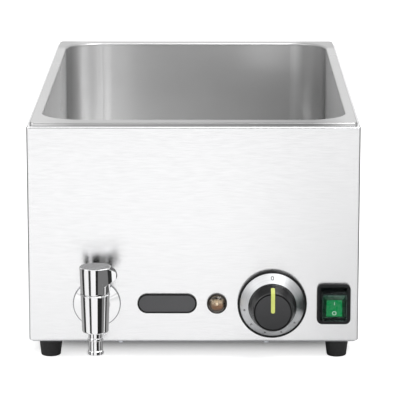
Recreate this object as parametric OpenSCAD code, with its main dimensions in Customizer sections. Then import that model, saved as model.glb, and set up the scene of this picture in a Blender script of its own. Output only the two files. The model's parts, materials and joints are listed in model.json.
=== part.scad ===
// Counter-top bain marie for one full-size gastronorm pan, with a drain tap.
// The front faces -Y, +Z is up, and the origin lies on the counter under the middle of the footprint.

/* [Casing] */
// Width of the casing
casing_w = 338; // [332:1:380]
// Depth of the casing, front to rear
casing_d = 540; // [534:1:600]
// Height of the casing, without base plate, feet and rim
casing_h = 224; // [222:1:260]
// Thickness of the casing sheet
sheet_t = 1; // [0.8:0.1:1.4]
// Outer radius of the upright bends
bend_r = 3; // [2.5:0.5:6]
// Outer radius of the folds along the top and bottom edges
fold_r = 2; // [1.6:0.1:2.4]
// Width of the inward return along the bottom edge
bottom_return_w = 12; // [11:0.5:14]
// Gap between the top return and the well
return_gap = 1.2; // [0.6:0.1:2]

/* [Well] */
// Width of the well's opening
well_w = 312; // [290:1:314]
// Length of the well's opening
well_l = 505; // [480:1:508]
// How far the well sits behind the middle of the casing
well_shift = 2; // [0:0.5:4]
// Depth of the well below its rim
well_depth = 160; // [130:1:163]
// Thickness of the well's sheet
well_t = 1; // [0.8:0.1:1.2]
// Radius of the well's upright corners
well_corner_r = 42; // [30:1:60]
// Radius between walls and floor
well_floor_r = 20; // [10:1:25]
// Radius of the roll between wall and rim
well_roll_r = 3; // [2:0.5:4]
// Height of the rim above the casing
rim_h = 4; // [3.5:0.5:8]
// How far the rim stays inside the casing's edges
rim_inset = 3; // [2.5:0.5:4]
// Radius of the rim's outer corners
rim_corner_r = 5; // [3:0.5:10]
// Radius of the rim's turned-down edge
rim_edge_r = 2; // [1.5:0.25:2.5]
// Thickness of the seal under the rim
seal_t = 0.5; // [0.3:0.1:1]
// Width of the seal under the rim
seal_w = 4; // [3:0.5:4.5]

/* [Base and feet] */
// Thickness of the base plate
base_t = 1; // [0.8:0.1:1.5]
// How far the base plate stays inside the casing's edges
base_inset = 3; // [2:0.5:4]
// Distance of the base screws from the casing's edges
base_screw_in = 7.5; // [7:0.5:9]
// Spacing of the base screws along the sides
side_screw_step = 100; // [80:5:110]
// Spacing of the base screws along front and rear
end_screw_step = 150; // [120:5:180]
// Distance of the vent fields from the middle
vent_x = 68; // [50:1:90]
// Width of a vent slot
slot_w = 4; // [3:0.5:6]
// Length of a vent slot
slot_l = 50; // [30:1:70]
// Spacing of the vent slots
slot_step = 11; // [9:0.5:14]
// Number of vent slots in each field
slot_n = 9; // [5:1:12]
// Height of a foot
foot_h = 19; // [16:1:26]
// Radius of a foot at its top
foot_top_r = 12.2; // [11:0.2:14]
// Radius of a foot at the counter
foot_bottom_r = 10.2; // [9:0.2:12]
// Distance of the feet from the casing's edges
foot_inset = 21; // [20:0.5:30]
// Radius of the recess for the screw head in a foot
foot_recess_r = 5.5; // [5:0.1:6.5]
// Depth of that recess
foot_recess_h = 9; // [6:0.5:12]

/* [Screws] */
// Radius of the foot screws and thermostat screws
m4_r = 2; // [1.8:0.1:2.2]
// Radius of their heads
m4_head_r = 3.8; // [3.4:0.1:4.2]
// Height of their heads
m4_head_h = 2.4; // [1.8:0.1:3]
// Width across flats of their nuts
m4_nut_af = 7; // [6.5:0.1:8]
// Height of their nuts
m4_nut_h = 3.2; // [2.4:0.1:4]
// Radius of the base screws
tapper_r = 1.7; // [1.4:0.1:2]
// Radius of the base screws' heads
tapper_head_r = 3.3; // [2.8:0.1:3.8]
// Height of the base screws' heads
tapper_head_h = 1.8; // [1.4:0.1:2.4]
// Length of the base screws
tapper_l = 8; // [6:0.5:12]
// Radial room round a screw in its hole
screw_gap = 0.3; // [0.2:0.05:0.4]

/* [Front row] */
// Height of the row of controls above the casing's lower edge
row_h = 40; // [39:0.5:42]
// Place of the tap across the front of a casing of the usual width
tap_at = -99; // [-110:1:-95]
// Place of the badge across that front
badge_at = -27; // [-32:1:-24]
// Place of the pilot lamp across that front
lamp_at = 24; // [20:1:28]
// Place of the thermostat dial across that front
dial_at = 80.5; // [78:0.5:84]
// Place of the switch across that front
switch_at = 143.5; // [141:0.5:146]

/* [Tap] */
// Distance of the tap's upright axis from the front
tap_out = 36; // [33:0.5:45]
// Height of the tap's body
tap_body_h = 40; // [38:0.5:46]
// Radius at the lower end of the body
tap_body_r = 13.7; // [13.2:0.1:15]
// Radius gained for each mm of height
tap_flare = 0.03; // [0:0.005:0.05]
// Rounding at the body's lower edge
tap_edge_r = 2; // [1:0.5:3]
// Height of the turning cap
cap_h = 27.5; // [25:0.5:32]
// Seam between the body and the cap
cap_gap = 0.4; // [0.3:0.1:0.8]
// Depth of the hollow under the cap
cap_hollow_h = 6; // [3:0.5:8]
// Radius of that hollow
cap_hollow_r = 11.5; // [10:0.5:12.5]
// Distance from the axis to the tip of the cap's nose
nose_reach = 21.5; // [20:0.5:28]
// Radius of the nose's tip
nose_tip_r = 3; // [1:0.5:3.5]
// Height of the nose at its tip
nose_tip_h = 4; // [2:0.5:5]
// Height of the nose at its root
nose_root_h = 21; // [14:0.5:22]
// How far the tip droops below the cap's top
nose_droop = 5; // [0:0.5:6]
// Turn of the closed nose from the right towards the viewer
nose_turn = -6; // [-20:1:60]
// Radius of the neck behind the body
neck_r = 12.5; // [11.8:0.1:13]
// Radius of the threaded spigot through the front
spigot_r = 10.4; // [10:0.1:10.8]
// Length of the spigot behind the front sheet
spigot_l = 26; // [24:0.5:30]
// Radius of the waterway
waterway_r = 6; // [5:0.1:6.3]
// Radius of the wall rosette
rosette_r = 24.5; // [22:0.5:30]
// Height of the rosette
rosette_h = 5; // [4:0.5:8]
// Radius of the valve ball
ball_r = 9; // [8.8:0.1:9.4]
// Radius of the ports in the ball
ball_port_r = 5; // [4:0.1:5.2]
// Radius of the valve stem
stem_r = 4; // [3.5:0.1:4.2]
// Length of the stem inside the cap
stem_in_cap = 16; // [14:0.5:20]
// Radius of the handle's set screw
set_screw_r = 2; // [1.5:0.1:2.5]
// Radial room of parts that turn in each other
run_gap = 0.05; // [0.03:0.01:0.08]
// Radius of the nozzle's rings
nozzle_r = 8.2; // [7.8:0.1:9]
// Radius of the nozzle's straight part
nozzle_waist_r = 7.2; // [6.8:0.1:7.5]
// Length of the nozzle below the body
nozzle_l = 24; // [20:0.5:26]
// Radius of the nozzle's thread
nozzle_thread_r = 7; // [6.5:0.1:7.4]
// Length of the nozzle's thread
nozzle_thread_l = 7; // [6:0.5:8]
// Radius of the nozzle's bore
nozzle_bore_r = 5; // [4:0.1:5.4]

/* [Drain] */
// Distance of the drain behind the front
drain_in = 68; // [66:1:90]
// Outer radius of the drain pipe
pipe_r = 8; // [7.6:0.1:8.6]
// Bend radius of the elbow
elbow_bend_r = 10; // [9.5:0.5:11]
// Straight stub at the elbow's upper end
elbow_stub_l = 3; // [2:0.5:3.5]
// Outer radius of the elbow's socket
socket_r = 10; // [9.6:0.1:11]
// Length of the socket beyond the stub
socket_l = 3.5; // [3:0.5:4]
// Radius of the drain flange on the well's floor
drain_flange_r = 16; // [14:0.5:20]
// Thickness of the drain flange
drain_flange_t = 2; // [1.6:0.1:3]
// Radius of the strainer disc
strainer_r = 11; // [10:0.5:12.5]
// Thickness of the strainer disc
strainer_t = 1; // [0.6:0.1:1.2]
// Thickness of the gasket under the floor
gasket_t = 1; // [0.8:0.1:1.5]
// Height of the nut under the gasket
drain_nut_h = 4; // [3:0.5:5]
// Width across flats of the drain nut
drain_nut_af = 24; // [22:0.5:28]

/* [Heating] */
// Radius of the heating element's tube
element_r = 4.25; // [3.5:0.05:4.5]
// Spacing of its straight runs
element_pitch = 60; // [50:1:64]
// Length of its straight runs
element_l = 300; // [240:5:310]
// How far the runs sit behind the middle of the well
element_shift = 40; // [30:1:45]
// Length of the leads in front of the outer runs
lead_l = 25; // [20:1:30]
// Bend radius of the leads
lead_bend_r = 12; // [10:0.5:14]
// Drop of the leads below the bend
lead_drop = 12; // [8:0.5:16]
// Radius of the ceramic insulators
insulator_r = 6; // [5.5:0.1:7]
// Height of the ceramic insulators
insulator_h = 8; // [6:0.5:10]
// Distance between the clamp bars
clamp_span = 180; // [140:5:200]
// Width of a clamp bar
clamp_w = 20; // [16:1:26]
// Thickness of a clamp bar
clamp_t = 1.5; // [1:0.1:2]
// Length of a clamp bar
clamp_l = 230; // [210:5:250]
// Radius of the studs welded to the well
stud_r = 2.5; // [2:0.1:3]
// Width across flats of the stud nuts
stud_nut_af = 8; // [7:0.5:9]
// Height of the stud nuts
stud_nut_h = 4; // [3:0.5:5]
// Thickness of the heat shield
shield_t = 0.8; // [0.6:0.1:1.2]
// Width of the heat shield
shield_w = 250; // [230:5:270]
// Length of the heat shield
shield_l = 330; // [310:5:345]
// Clearance of pieces that lie against each other
lie_gap = 0.1; // [0.05:0.05:0.2]
// Radius of the sensing bulb
bulb_r = 3; // [2.5:0.1:3.5]
// Length of the sensing bulb
bulb_l = 70; // [60:1:80]
// Radius of the capillary
capillary_r = 1; // [0.8:0.1:1.2]
// Width of the bulb clip
clip_w = 12; // [10:0.5:14]
// Length of the bulb clip along the bulb
clip_l = 10; // [8:0.5:14]
// Radius of the thermal cut-out
cutout_r = 8; // [7:0.5:9]
// Height of the thermal cut-out
cutout_h = 11; // [9:0.5:13]

/* [Dial] */
// Radius of the dial base at the front
dial_r = 35.5; // [34:0.5:38]
// Radius where the scale begins
scale_out_r = 33; // [32:0.5:33.5]
// Radius where the scale ends
scale_in_r = 24.6; // [24.4:0.1:26]
// Distance of the scale's outer edge from the front
scale_out_z = 5.6; // [5:0.1:7]
// Distance of the scale's inner edge from the front
scale_in_z = 15; // [13:0.5:17]
// Thickness of the scale ring
scale_t = 0.8; // [0.6:0.1:1.2]
// Thickness of the dial base's wall
dial_wall = 2; // [1.6:0.1:2.4]
// Radius of the knob's skirt
knob_skirt_r = 24.1; // [23:0.1:24.2]
// Radius of the knob's face
knob_face_r = 19.6; // [18:0.1:21]
// Distance of the knob's face from the front
knob_out = 36; // [33:0.5:42]
// Length of the knob's skirt before it tapers
knob_skirt_h = 2; // [1:0.5:3]
// Thickness of the knob's wall
knob_wall = 2.2; // [1.8:0.1:2.6]
// Radius of the knob's hub
hub_r = 6.5; // [6:0.1:8]
// Width of the pointer inlay
pointer_w = 4.6; // [3:0.1:6]
// Depth of the pointer inlay
pointer_t = 0.9; // [0.6:0.1:1.2]
// How far the pointer stands proud
pointer_proud = 0.3; // [0.2:0.1:0.6]

/* [Thermostat] */
// Width of the thermostat body
thermostat_w = 44; // [40:1:48]
// Height of the thermostat body
thermostat_h = 36; // [32:1:38]
// Depth of the thermostat body behind the front sheet
thermostat_d = 32; // [28:1:40]
// Radius of its bush through the front
bush_r = 5; // [4.5:0.1:5.5]
// Length of the bush in front of the front sheet
bush_l = 6; // [4:0.5:7]
// Radius of the shaft
shaft_r = 3; // [2.5:0.1:3.5]
// Depth of the flat on the shaft
shaft_flat = 1; // [0.6:0.1:1.4]
// Distance of its fixing screws from the shaft
thermostat_screw_x = 14; // [12.5:0.5:15]
// Length of its fixing screws behind the dial base
thermostat_screw_l = 10; // [8:0.5:14]

/* [Switch] */
// Width of the switch frame
switch_w = 34.5; // [33:0.5:37]
// Height of the switch frame
switch_h = 42; // [40:0.5:46]
// Thickness of the switch frame
switch_frame_t = 4; // [3:0.5:6]
// Corner radius of the switch frame
switch_corner_r = 5.5; // [4:0.5:8]
// Width of the frame's border
switch_border = 3.5; // [3:0.1:4]
// Distance of the cover's front from the front sheet
cover_out = 20; // [19:0.5:24]
// Width of the cover's front
cover_front_w = 25; // [24:0.5:26]
// Height of the cover's front
cover_front_h = 27; // [26.5:0.5:30]
// Thickness of the cover
cover_t = 1; // [0.8:0.1:1.2]
// Width of the switch body
switch_body_w = 22; // [21:0.5:23]
// Height of the switch body
switch_body_h = 28; // [26:0.5:29]
// Depth of the switch body behind the front
switch_body_d = 28; // [24:1:34]
// Distance of the body's collar from the front
collar_out = 10; // [9:0.5:11]
// Width of the rocker
rocker_w = 16; // [15:0.5:17]
// Height of the rocker
rocker_h = 18; // [17:0.5:18.5]
// Distance of the rocker's face from the front
rocker_out = 14.5; // [14:0.5:15.5]
// Distance of the rocker's axle from the front
axle_out = 6; // [5:0.5:6.5]
// Radius of the rocker's axle
axle_r = 1.25; // [1:0.05:1.5]
// Tilt of the rocker each way from level
rocker_tilt = 7; // [4:0.5:8]
// Room round the rocker in its window
rocker_gap = 0.6; // [0.5:0.1:0.8]

/* [Lamp and badge] */
// Radius of the lamp's bezel
lamp_r = 10.3; // [9.5:0.1:12]
// Thickness of the lamp's bezel
lamp_bezel_t = 3.6; // [3:0.2:5]
// Radius of the lens
lens_r = 8.6; // [7:0.1:8.8]
// Distance of the lens's top from the front
lens_out = 7.5; // [6:0.5:9]
// Depth of the lens's seat in the bezel
lens_seat = 2.4; // [1.8:0.2:2.6]
// Radius of the lamp's barrel
barrel_r = 6; // [5.5:0.1:6.5]
// Length of the lamp's barrel behind the front
barrel_l = 24; // [20:1:32]
// Width across flats of the lamp's nut
lamp_nut_af = 17; // [15:0.5:20]
// Height of the lamp's nut
lamp_nut_h = 4; // [3:0.5:5]
// Length of the badge
badge_l = 61; // [50:1:66]
// Height of the badge
badge_h = 20.5; // [18:0.5:24]
// Thickness of the badge
badge_t = 2; // [1:0.5:3]

/* [Mains entry] */
// Place of the cable gland across the rear of a casing of the usual width
gland_at = 110; // [90:1:130]
// Height of the gland above the casing's lower edge
gland_h = 34; // [26:1:44]
// Radius of the gland's barrel
gland_r = 7.9; // [7:0.1:9]
// Radius of the cable's way through the gland
gland_bore_r = 4; // [3:0.1:5]
// Width across flats of the gland
gland_af = 22; // [19:0.5:24]
// Thickness of the gland's hexagon
gland_hex_t = 5; // [4:0.5:7]
// Length of the gland's dome
gland_dome_l = 7; // [5:0.5:9]
// Length of the gland inside the casing
gland_in_l = 10; // [8:0.5:14]
// Length of the terminal block
block_l = 40; // [30:1:50]
// Width of the terminal block
block_w = 22; // [18:1:28]
// Height of the terminal block
block_h = 18; // [14:1:22]
// Distance of the terminal block from the rear
block_in = 70; // [60:1:90]
// Radius of the wires
wire_r = 1.4; // [1:0.1:1.8]

/* [Hidden] */
$fn = 64;

// How far a cutter reaches past what it cuts
past = 1;

// Places across the casing keep their share of its width when that isn't the usual one
usual_w = 338;
across = casing_w / usual_w;
tap_x = tap_at * across;
badge_x = badge_at * across;
lamp_x = lamp_at * across;
dial_x = dial_at * across;
switch_x = switch_at * across;
gland_x = gland_at * across;

// Levels and planes of the whole object
base_z = foot_h + base_t;
top_z = base_z + casing_h;
rim_z = top_z + rim_h;
floor_z = rim_z - well_depth;
under_z = floor_z - well_t;
row_z = base_z + row_h;
cap_bottom = tap_body_h + cap_gap;
cap_top_r = tap_r(cap_bottom + cap_h);
gland_reach = gland_hex_t + gland_dome_l;
front_y = (tap_out + cap_top_r - gland_reach - casing_d) / 2;
rear_y = front_y + casing_d;
mid_y = front_y + casing_d / 2;
well_y = mid_y + well_shift;
rim_w = casing_w - 2 * rim_inset;
rim_l = casing_d - 2 * rim_inset;

// Radius of the tap at a height above the lower end of its body
function tap_r(h) = tap_body_r + tap_flare * h;

// Circumscribed radius of a hexagon of the given width across flats
function hex_r(af) = af / 2 / cos(30);

// Points of an arc about a centre, from one angle to another
function arc(c, r, a0, a1, n = 6) = [
  for (i = [0:n]) let (a = a0 + (a1 - a0) * i / n) c + r * [cos(a), sin(a)]
];

// Rectangle with round corners, about the origin
module rounded_rect(w, l, r) {
  square([w - 2 * r, l], center = true);
  square([w, l - 2 * r], center = true);
  for (sx = [-1, 1], sy = [-1, 1]) translate([sx * (w / 2 - r), sy * (l / 2 - r)]) circle(r);
}

// Slot with round ends along x, about the origin
module slot(l, w) {
  square([l - w, w], center = true);
  for (s = [-1, 1]) translate([s * (l - w) / 2, 0]) circle(w / 2);
}

// A quarter of a ring of sheet, turned to the given quadrant
module quarter_ring(r_out, t, quadrant) {
  intersection() {
    difference() {
      circle(r_out);
      circle(r_out - t);
    }
    rotate(quadrant * 90) square(r_out + past);
  }
}

// Sweeps an upright profile round a rectangle with round corners. The profile's x runs outwards from
// the corner's centre, so that x = r lies on the rectangle.
module sweep_round(w, l, r) {
  for (turn = [0:3]) rotate(90 * turn) {
    across = turn % 2 == 0 ? w : l;
    along = turn % 2 == 0 ? l : w;
    translate([across / 2 - r, 0, 0]) {
      rotate([90, 0, 0]) linear_extrude(along - 2 * r, center = true) children();
      translate([0, along / 2 - r, 0]) rotate_extrude(angle = 90) children();
    }
  }
}

// A place on the front: local x to the right, y up and z out towards the viewer
module on_front(x) {
  translate([x, front_y, row_z]) rotate([90, 0, 0]) children();
}

// A hexagonal nut about the z axis, from z = 0 up
module nut(af, h, bore_r) {
  difference() {
    cylinder(r = hex_r(af), h = h, $fn = 6);
    translate([0, 0, -past]) cylinder(r = bore_r, h = h + 2 * past);
  }
}

// A plain ring about the z axis, from z = 0 up
module ring(r_out, r_in, h) {
  difference() {
    cylinder(r = r_out, h = h);
    translate([0, 0, -past]) cylinder(r = r_in, h = h + 2 * past);
  }
}

// Casing: one folded and welded wrap, with a return round the top and the bottom edge
module casing_wall_profile() {
  translate([bend_r - fold_r, top_z - fold_r]) quarter_ring(fold_r, sheet_t, 0);
  translate([bend_r - sheet_t, base_z + fold_r]) square([sheet_t, casing_h - 2 * fold_r]);
  translate([bend_r - fold_r, base_z + fold_r]) quarter_ring(fold_r, sheet_t, 3);
}

module return_outline() {
  rounded_rect(casing_w - 2 * fold_r, casing_d - 2 * fold_r, bend_r - fold_r);
}

module top_return() {
  clear = well_t + return_gap;
  translate([0, mid_y, top_z - sheet_t]) linear_extrude(sheet_t) difference() {
    return_outline();
    translate([0, well_shift]) rounded_rect(well_w + 2 * clear, well_l + 2 * clear, well_corner_r + clear);
  }
}

module bottom_return() {
  translate([0, mid_y, base_z]) linear_extrude(sheet_t) difference() {
    return_outline();
    square([casing_w - 2 * bottom_return_w, casing_d - 2 * bottom_return_w], center = true);
  }
}

// Holes through the front sheet, drawn in the front's own x and y
switch_hole_gap = 0.3;
lamp_hole_gap = 0.2;

module front_holes() {
  deep = sheet_t + past;
  switch_hole = [switch_body_w + 2 * switch_hole_gap, switch_body_h + 2 * switch_hole_gap, deep + past];
  on_front(tap_x) translate([0, 0, -deep]) cylinder(r = spigot_r + screw_gap, h = deep + past);
  on_front(lamp_x) translate([0, 0, -deep]) cylinder(r = barrel_r + lamp_hole_gap, h = deep + past);
  on_front(dial_x) translate([0, 0, -deep]) {
    cylinder(r = bush_r + screw_gap, h = deep + past);
    for (s = [-1, 1]) translate([s * thermostat_screw_x, 0, 0])
      cylinder(r = m4_r + screw_gap, h = deep + past);
  }
  on_front(switch_x) translate([0, 0, -deep / 2]) cube(switch_hole, center = true);
}

module casing() {
  color("gainsboro") difference() {
    union() {
      translate([0, mid_y, 0]) sweep_round(casing_w, casing_d, bend_r) casing_wall_profile();
      top_return();
      bottom_return();
    }
    front_holes();
    at_gland() translate([0, 0, -sheet_t - past]) cylinder(r = gland_r + screw_gap, h = sheet_t + 2 * past);
    at_base_screws() translate([0, 0, base_z - past])
      cylinder(r = tapper_r + run_gap, h = sheet_t + 2 * past);
  }
}

// Well: deep-drawn tub with a rim that is turned down onto the casing
skirt_z = top_z + seal_t;

module tub_profile() {
  wall_from = floor_z + well_floor_r;
  wall_to = rim_z - well_roll_r;
  translate([well_corner_r - well_floor_r, wall_from]) quarter_ring(well_floor_r + well_t, well_t, 3);
  translate([well_corner_r, wall_from]) square([well_t, wall_to - wall_from]);
  translate([well_corner_r + well_roll_r, wall_to]) quarter_ring(well_roll_r, well_t, 1);
}

module skirt_profile() {
  translate([rim_corner_r - rim_edge_r, rim_z - rim_edge_r]) quarter_ring(rim_edge_r, well_t, 0);
  translate([rim_corner_r - well_t, skirt_z]) square([well_t, rim_z - rim_edge_r - skirt_z]);
}

module well_floor() {
  inner_r = well_corner_r - well_floor_r;
  translate([0, 0, under_z]) linear_extrude(well_t)
    rounded_rect(well_w - 2 * well_floor_r, well_l - 2 * well_floor_r, inner_r);
}

module rim_plate() {
  translate([0, 0, rim_z - well_t]) linear_extrude(well_t) difference() {
    rounded_rect(rim_w - 2 * rim_edge_r, rim_l - 2 * rim_edge_r, rim_corner_r - rim_edge_r);
    translate([0, well_shift])
      rounded_rect(well_w + 2 * well_roll_r, well_l + 2 * well_roll_r, well_corner_r + well_roll_r);
  }
}

module well() {
  color("silver") difference() {
    union() {
      translate([0, well_y, 0]) {
        sweep_round(well_w, well_l, well_corner_r) tub_profile();
        well_floor();
      }
      translate([0, mid_y, 0]) {
        rim_plate();
        sweep_round(rim_w, rim_l, rim_corner_r) skirt_profile();
      }
    }
    at_drain(under_z - past) cylinder(r = pipe_r + screw_gap, h = well_t + 2 * past);
  }
}

// How far the seal stays inside the rim's outer face
seal_inset = 0.2;

module rim_seal() {
  outer_r = rim_corner_r - seal_inset;
  color("dimgray") translate([0, mid_y, top_z]) linear_extrude(seal_t) difference() {
    rounded_rect(rim_w - 2 * seal_inset, rim_l - 2 * seal_inset, outer_r);
    square([rim_w - 2 * seal_inset - 2 * seal_w, rim_l - 2 * seal_inset - 2 * seal_w], center = true);
  }
}

// Base plate, its screws and the feet
side_screws = 4;
end_screws = 2;
base_corner_r = 2;

// Places of the base screws along the middle of the bottom return
module at_base_screws() {
  for (s = [-1, 1]) {
    for (i = [0:side_screws - 1]) translate([
      s * (casing_w / 2 - base_screw_in),
      mid_y + (i - (side_screws - 1) / 2) * side_screw_step,
      0
    ]) children();
    for (i = [0:end_screws - 1]) translate([
      (i - (end_screws - 1) / 2) * end_screw_step,
      mid_y + s * (casing_d / 2 - base_screw_in),
      0
    ]) children();
  }
}

// Places of the feet: sx and sy are -1 or 1, left or right and front or rear
module at_foot(sx, sy) {
  translate([sx * (casing_w / 2 - foot_inset), mid_y + sy * (casing_d / 2 - foot_inset), 0]) children();
}

module at_feet() {
  for (sx = [-1, 1], sy = [-1, 1]) at_foot(sx, sy) children();
}

module vent_fields() {
  for (s = [-1, 1], i = [0:slot_n - 1])
    translate([s * vent_x, (i - (slot_n - 1) / 2) * slot_step]) slot(slot_l, slot_w);
}

module base_plate() {
  color("darkgray") difference() {
    translate([0, mid_y, foot_h]) linear_extrude(base_t) difference() {
      rounded_rect(casing_w - 2 * base_inset, casing_d - 2 * base_inset, base_corner_r);
      vent_fields();
    }
    at_feet() translate([0, 0, foot_h - past]) cylinder(r = m4_r + screw_gap, h = base_t + 2 * past);
    at_base_screws() translate([0, 0, foot_h - past])
      cylinder(r = tapper_r + screw_gap, h = base_t + 2 * past);
  }
}

module base_screws() {
  color("silver") at_base_screws() {
    translate([0, 0, foot_h - tapper_head_h]) cylinder(r = tapper_head_r, h = tapper_head_h);
    translate([0, 0, foot_h]) cylinder(r = tapper_r, h = tapper_l);
  }
}

// A rubber foot, with a recess for its screw head
foot_edge_r = 1.2;

module foot() {
  color("black") difference() {
    rotate_extrude() polygon(concat(
      [[0, 0]],
      arc([foot_bottom_r - foot_edge_r, foot_edge_r], foot_edge_r, -90, 0),
      arc([foot_top_r - foot_edge_r, foot_h - foot_edge_r], foot_edge_r, 0, 90),
      [[0, foot_h]]
    ));
    translate([0, 0, -past]) cylinder(r = foot_recess_r, h = foot_recess_h + past);
    cylinder(r = m4_r + screw_gap, h = foot_h + past);
  }
}

module foot_screws() {
  color("silver") at_feet() {
    translate([0, 0, foot_recess_h - m4_head_h]) cylinder(r = m4_head_r, h = m4_head_h);
    translate([0, 0, foot_recess_h]) cylinder(r = m4_r, h = base_z + m4_nut_h + past - foot_recess_h);
  }
}

module foot_nuts() {
  color("silver") at_feet() translate([0, 0, base_z]) nut(m4_nut_af, m4_nut_h, m4_r + run_gap);
}

// Tap: a ball valve with an upright axis. Its parts are drawn about that axis, with z = 0 at the waterway.
ball_room = 0.4;
chamber_r = ball_r + ball_room;
chamber_low = -ball_r - ball_room;
body_low = -tap_body_h / 2;
body_top = tap_body_h / 2;
seat_in_r = waterway_r + run_gap;
seat_wall = 2.3;
seat_l = 4.6;
seat_out_r = seat_in_r + seat_wall;
seat_from = sqrt(pow(ball_r + run_gap, 2) - pow(seat_in_r, 2));
seat_to = seat_from + seat_l;
spigot_end = tap_out + sheet_t + spigot_l;
ring_r = 1;
ring_gap = 0.1;
ring_deep = 6;
ring_z = body_top - ring_deep;
bonnet_low = ball_r + ball_room;
bonnet_top = body_top - ball_room;
stem_top = body_top + cap_gap + stem_in_cap;
tongue_w = 3.9;
tongue_l = 7;
tongue_low = 6.1;
thread_room = 0.5;

module at_tap() {
  translate([tap_x, front_y - tap_out, row_z]) children();
}

// Turns a shape along z so that it points from the tap to the casing
module inwards() {
  rotate([-90, 0, 0]) children();
}

module tap_body() {
  color("silver") at_tap() difference() {
    union() {
      translate([0, 0, body_low]) rotate_extrude() polygon(concat(
        [[0, 0]],
        arc([tap_body_r - tap_edge_r, tap_edge_r], tap_edge_r, -90, 0),
        [[tap_r(tap_body_h), tap_body_h], [0, tap_body_h]]
      ));
      inwards() cylinder(r = neck_r, h = tap_out - rosette_h);
      inwards() cylinder(r = spigot_r, h = spigot_end);
    }
    translate([0, 0, chamber_low]) cylinder(r = chamber_r, h = body_top - chamber_low + past);
    translate([0, 0, body_low - past]) cylinder(r = nozzle_bore_r, h = tap_body_h / 2);
    translate([0, 0, body_low - past])
      cylinder(r = nozzle_thread_r + run_gap, h = nozzle_thread_l + thread_room + past);
    inwards() cylinder(r = waterway_r, h = spigot_end + past);
    inwards() cylinder(r = seat_out_r, h = seat_to);
  }
}

module tap_rosette() {
  lip_t = 1.2;
  color("silver") on_front(tap_x) rotate_extrude() polygon(concat(
    [[spigot_r + screw_gap, 0], [rosette_r, 0]],
    arc([rosette_r - lip_t, lip_t], lip_t, 0, 60),
    [[neck_r + lip_t, rosette_h], [spigot_r + screw_gap, rosette_h]]
  ));
}

lock_nut_af = 30;
lock_nut_h = 5;

module tap_lock_nut() {
  color("goldenrod") on_front(tap_x) translate([0, 0, -sheet_t - lock_nut_h])
    nut(lock_nut_af, lock_nut_h, spigot_r + run_gap);
}

// Plan of the cap's nose: sides that leave the cap as tangents and meet in a round tip
module nose_plan() {
  root_r = tap_r(cap_bottom);
  tip_x = nose_reach - nose_tip_r;
  a = acos((root_r - nose_tip_r) / tip_x);
  polygon([
    [0, 0],
    root_r * [cos(a), -sin(a)],
    [tip_x, 0] + nose_tip_r * [cos(a), -sin(a)],
    [tip_x, 0] + nose_tip_r * [cos(a), sin(a)],
    root_r * [cos(a), sin(a)]
  ]);
  translate([tip_x, 0]) circle(nose_tip_r);
}

// Side view of the nose, with z = 0 at the cap's top
module nose_side() {
  polygon([
    [0, -nose_root_h],
    [0, 0],
    [nose_reach + past, -nose_droop],
    [nose_reach + past, -nose_droop - nose_tip_h]
  ]);
}

cap_edge_r = 1;

module tap_cap_outside() {
  rotate_extrude() polygon(concat(
    [[0, 0], [tap_r(cap_bottom), 0]],
    arc([cap_top_r - cap_edge_r, cap_h - cap_edge_r], cap_edge_r, 0, 90),
    [[0, cap_h]]
  ));
  intersection() {
    linear_extrude(cap_h) nose_plan();
    translate([0, 0, cap_h - cap_edge_r / 2]) rotate([90, 0, 0])
      linear_extrude(4 * cap_top_r, center = true) nose_side();
  }
}

// Parts that turn with the cap are drawn with the nose along x
module at_cap() {
  at_tap() rotate(-nose_turn) children();
}

set_screw_up = 11;
set_screw_z = body_top + cap_gap + set_screw_up;
set_screw_l = 7;

module tap_handle() {
  color("silver") at_cap() difference() {
    translate([0, 0, body_top + cap_gap]) tap_cap_outside();
    translate([0, 0, body_top]) cylinder(r = cap_hollow_r, h = cap_gap + cap_hollow_h);
    translate([0, 0, body_top]) cylinder(r = stem_r + run_gap, h = stem_top - body_top + run_gap);
    translate([0, 0, set_screw_z]) rotate([0, -90, 0]) cylinder(r = set_screw_r + run_gap, h = 2 * cap_top_r);
  }
}

module handle_set_screw() {
  color("dimgray") at_cap() translate([-stem_r - run_gap, 0, set_screw_z]) rotate([0, -90, 0])
    cylinder(r = set_screw_r, h = set_screw_l);
}

module tap_stem() {
  low = ball_r + ball_room / 2;
  color("goldenrod") at_tap() {
    translate([0, 0, low]) cylinder(r = stem_r, h = stem_top - low);
    translate([-tongue_w / 2, -tongue_l / 2, tongue_low]) cube([tongue_w, tongue_l, low - tongue_low]);
  }
}

module tap_ball() {
  slot_gap = 0.05;
  color("gainsboro") at_tap() difference() {
    sphere(ball_r);
    rotate([0, -90, 0]) cylinder(r = ball_port_r, h = 2 * ball_r);
    rotate([180, 0, 0]) cylinder(r = ball_port_r, h = 2 * ball_r);
    translate([-tongue_w / 2 - slot_gap, -2 * ball_r, tongue_low - slot_gap])
      cube([tongue_w + 2 * slot_gap, 4 * ball_r, ball_r]);
  }
}

module tap_seat() {
  color("white") at_tap() inwards() translate([0, 0, seat_from])
    ring(seat_out_r - run_gap, seat_in_r, seat_to - seat_from);
}

module tap_bonnet() {
  color("goldenrod") at_tap() difference() {
    translate([0, 0, bonnet_low]) ring(chamber_r - run_gap, stem_r + run_gap, bonnet_top - bonnet_low);
    translate([0, 0, ring_z]) cylinder(r = stem_r + 2 * ring_r + 2 * ring_gap, h = bonnet_top);
  }
}

module stem_o_ring() {
  color("black") at_tap() translate([0, 0, ring_z + ring_r]) rotate_extrude()
    translate([stem_r + ring_gap + ring_r, 0]) circle(ring_r);
}

// Nozzle: a ring in its upper third, a straight part and a flared end, with z = 0 at the body's lower face
nozzle_collar_r = nozzle_waist_r + 0.3;
nozzle_ring_z = -6.5;
nozzle_ring_h = 2;
nozzle_lip_h = 3.5;
nozzle_slope = 1;

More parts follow.
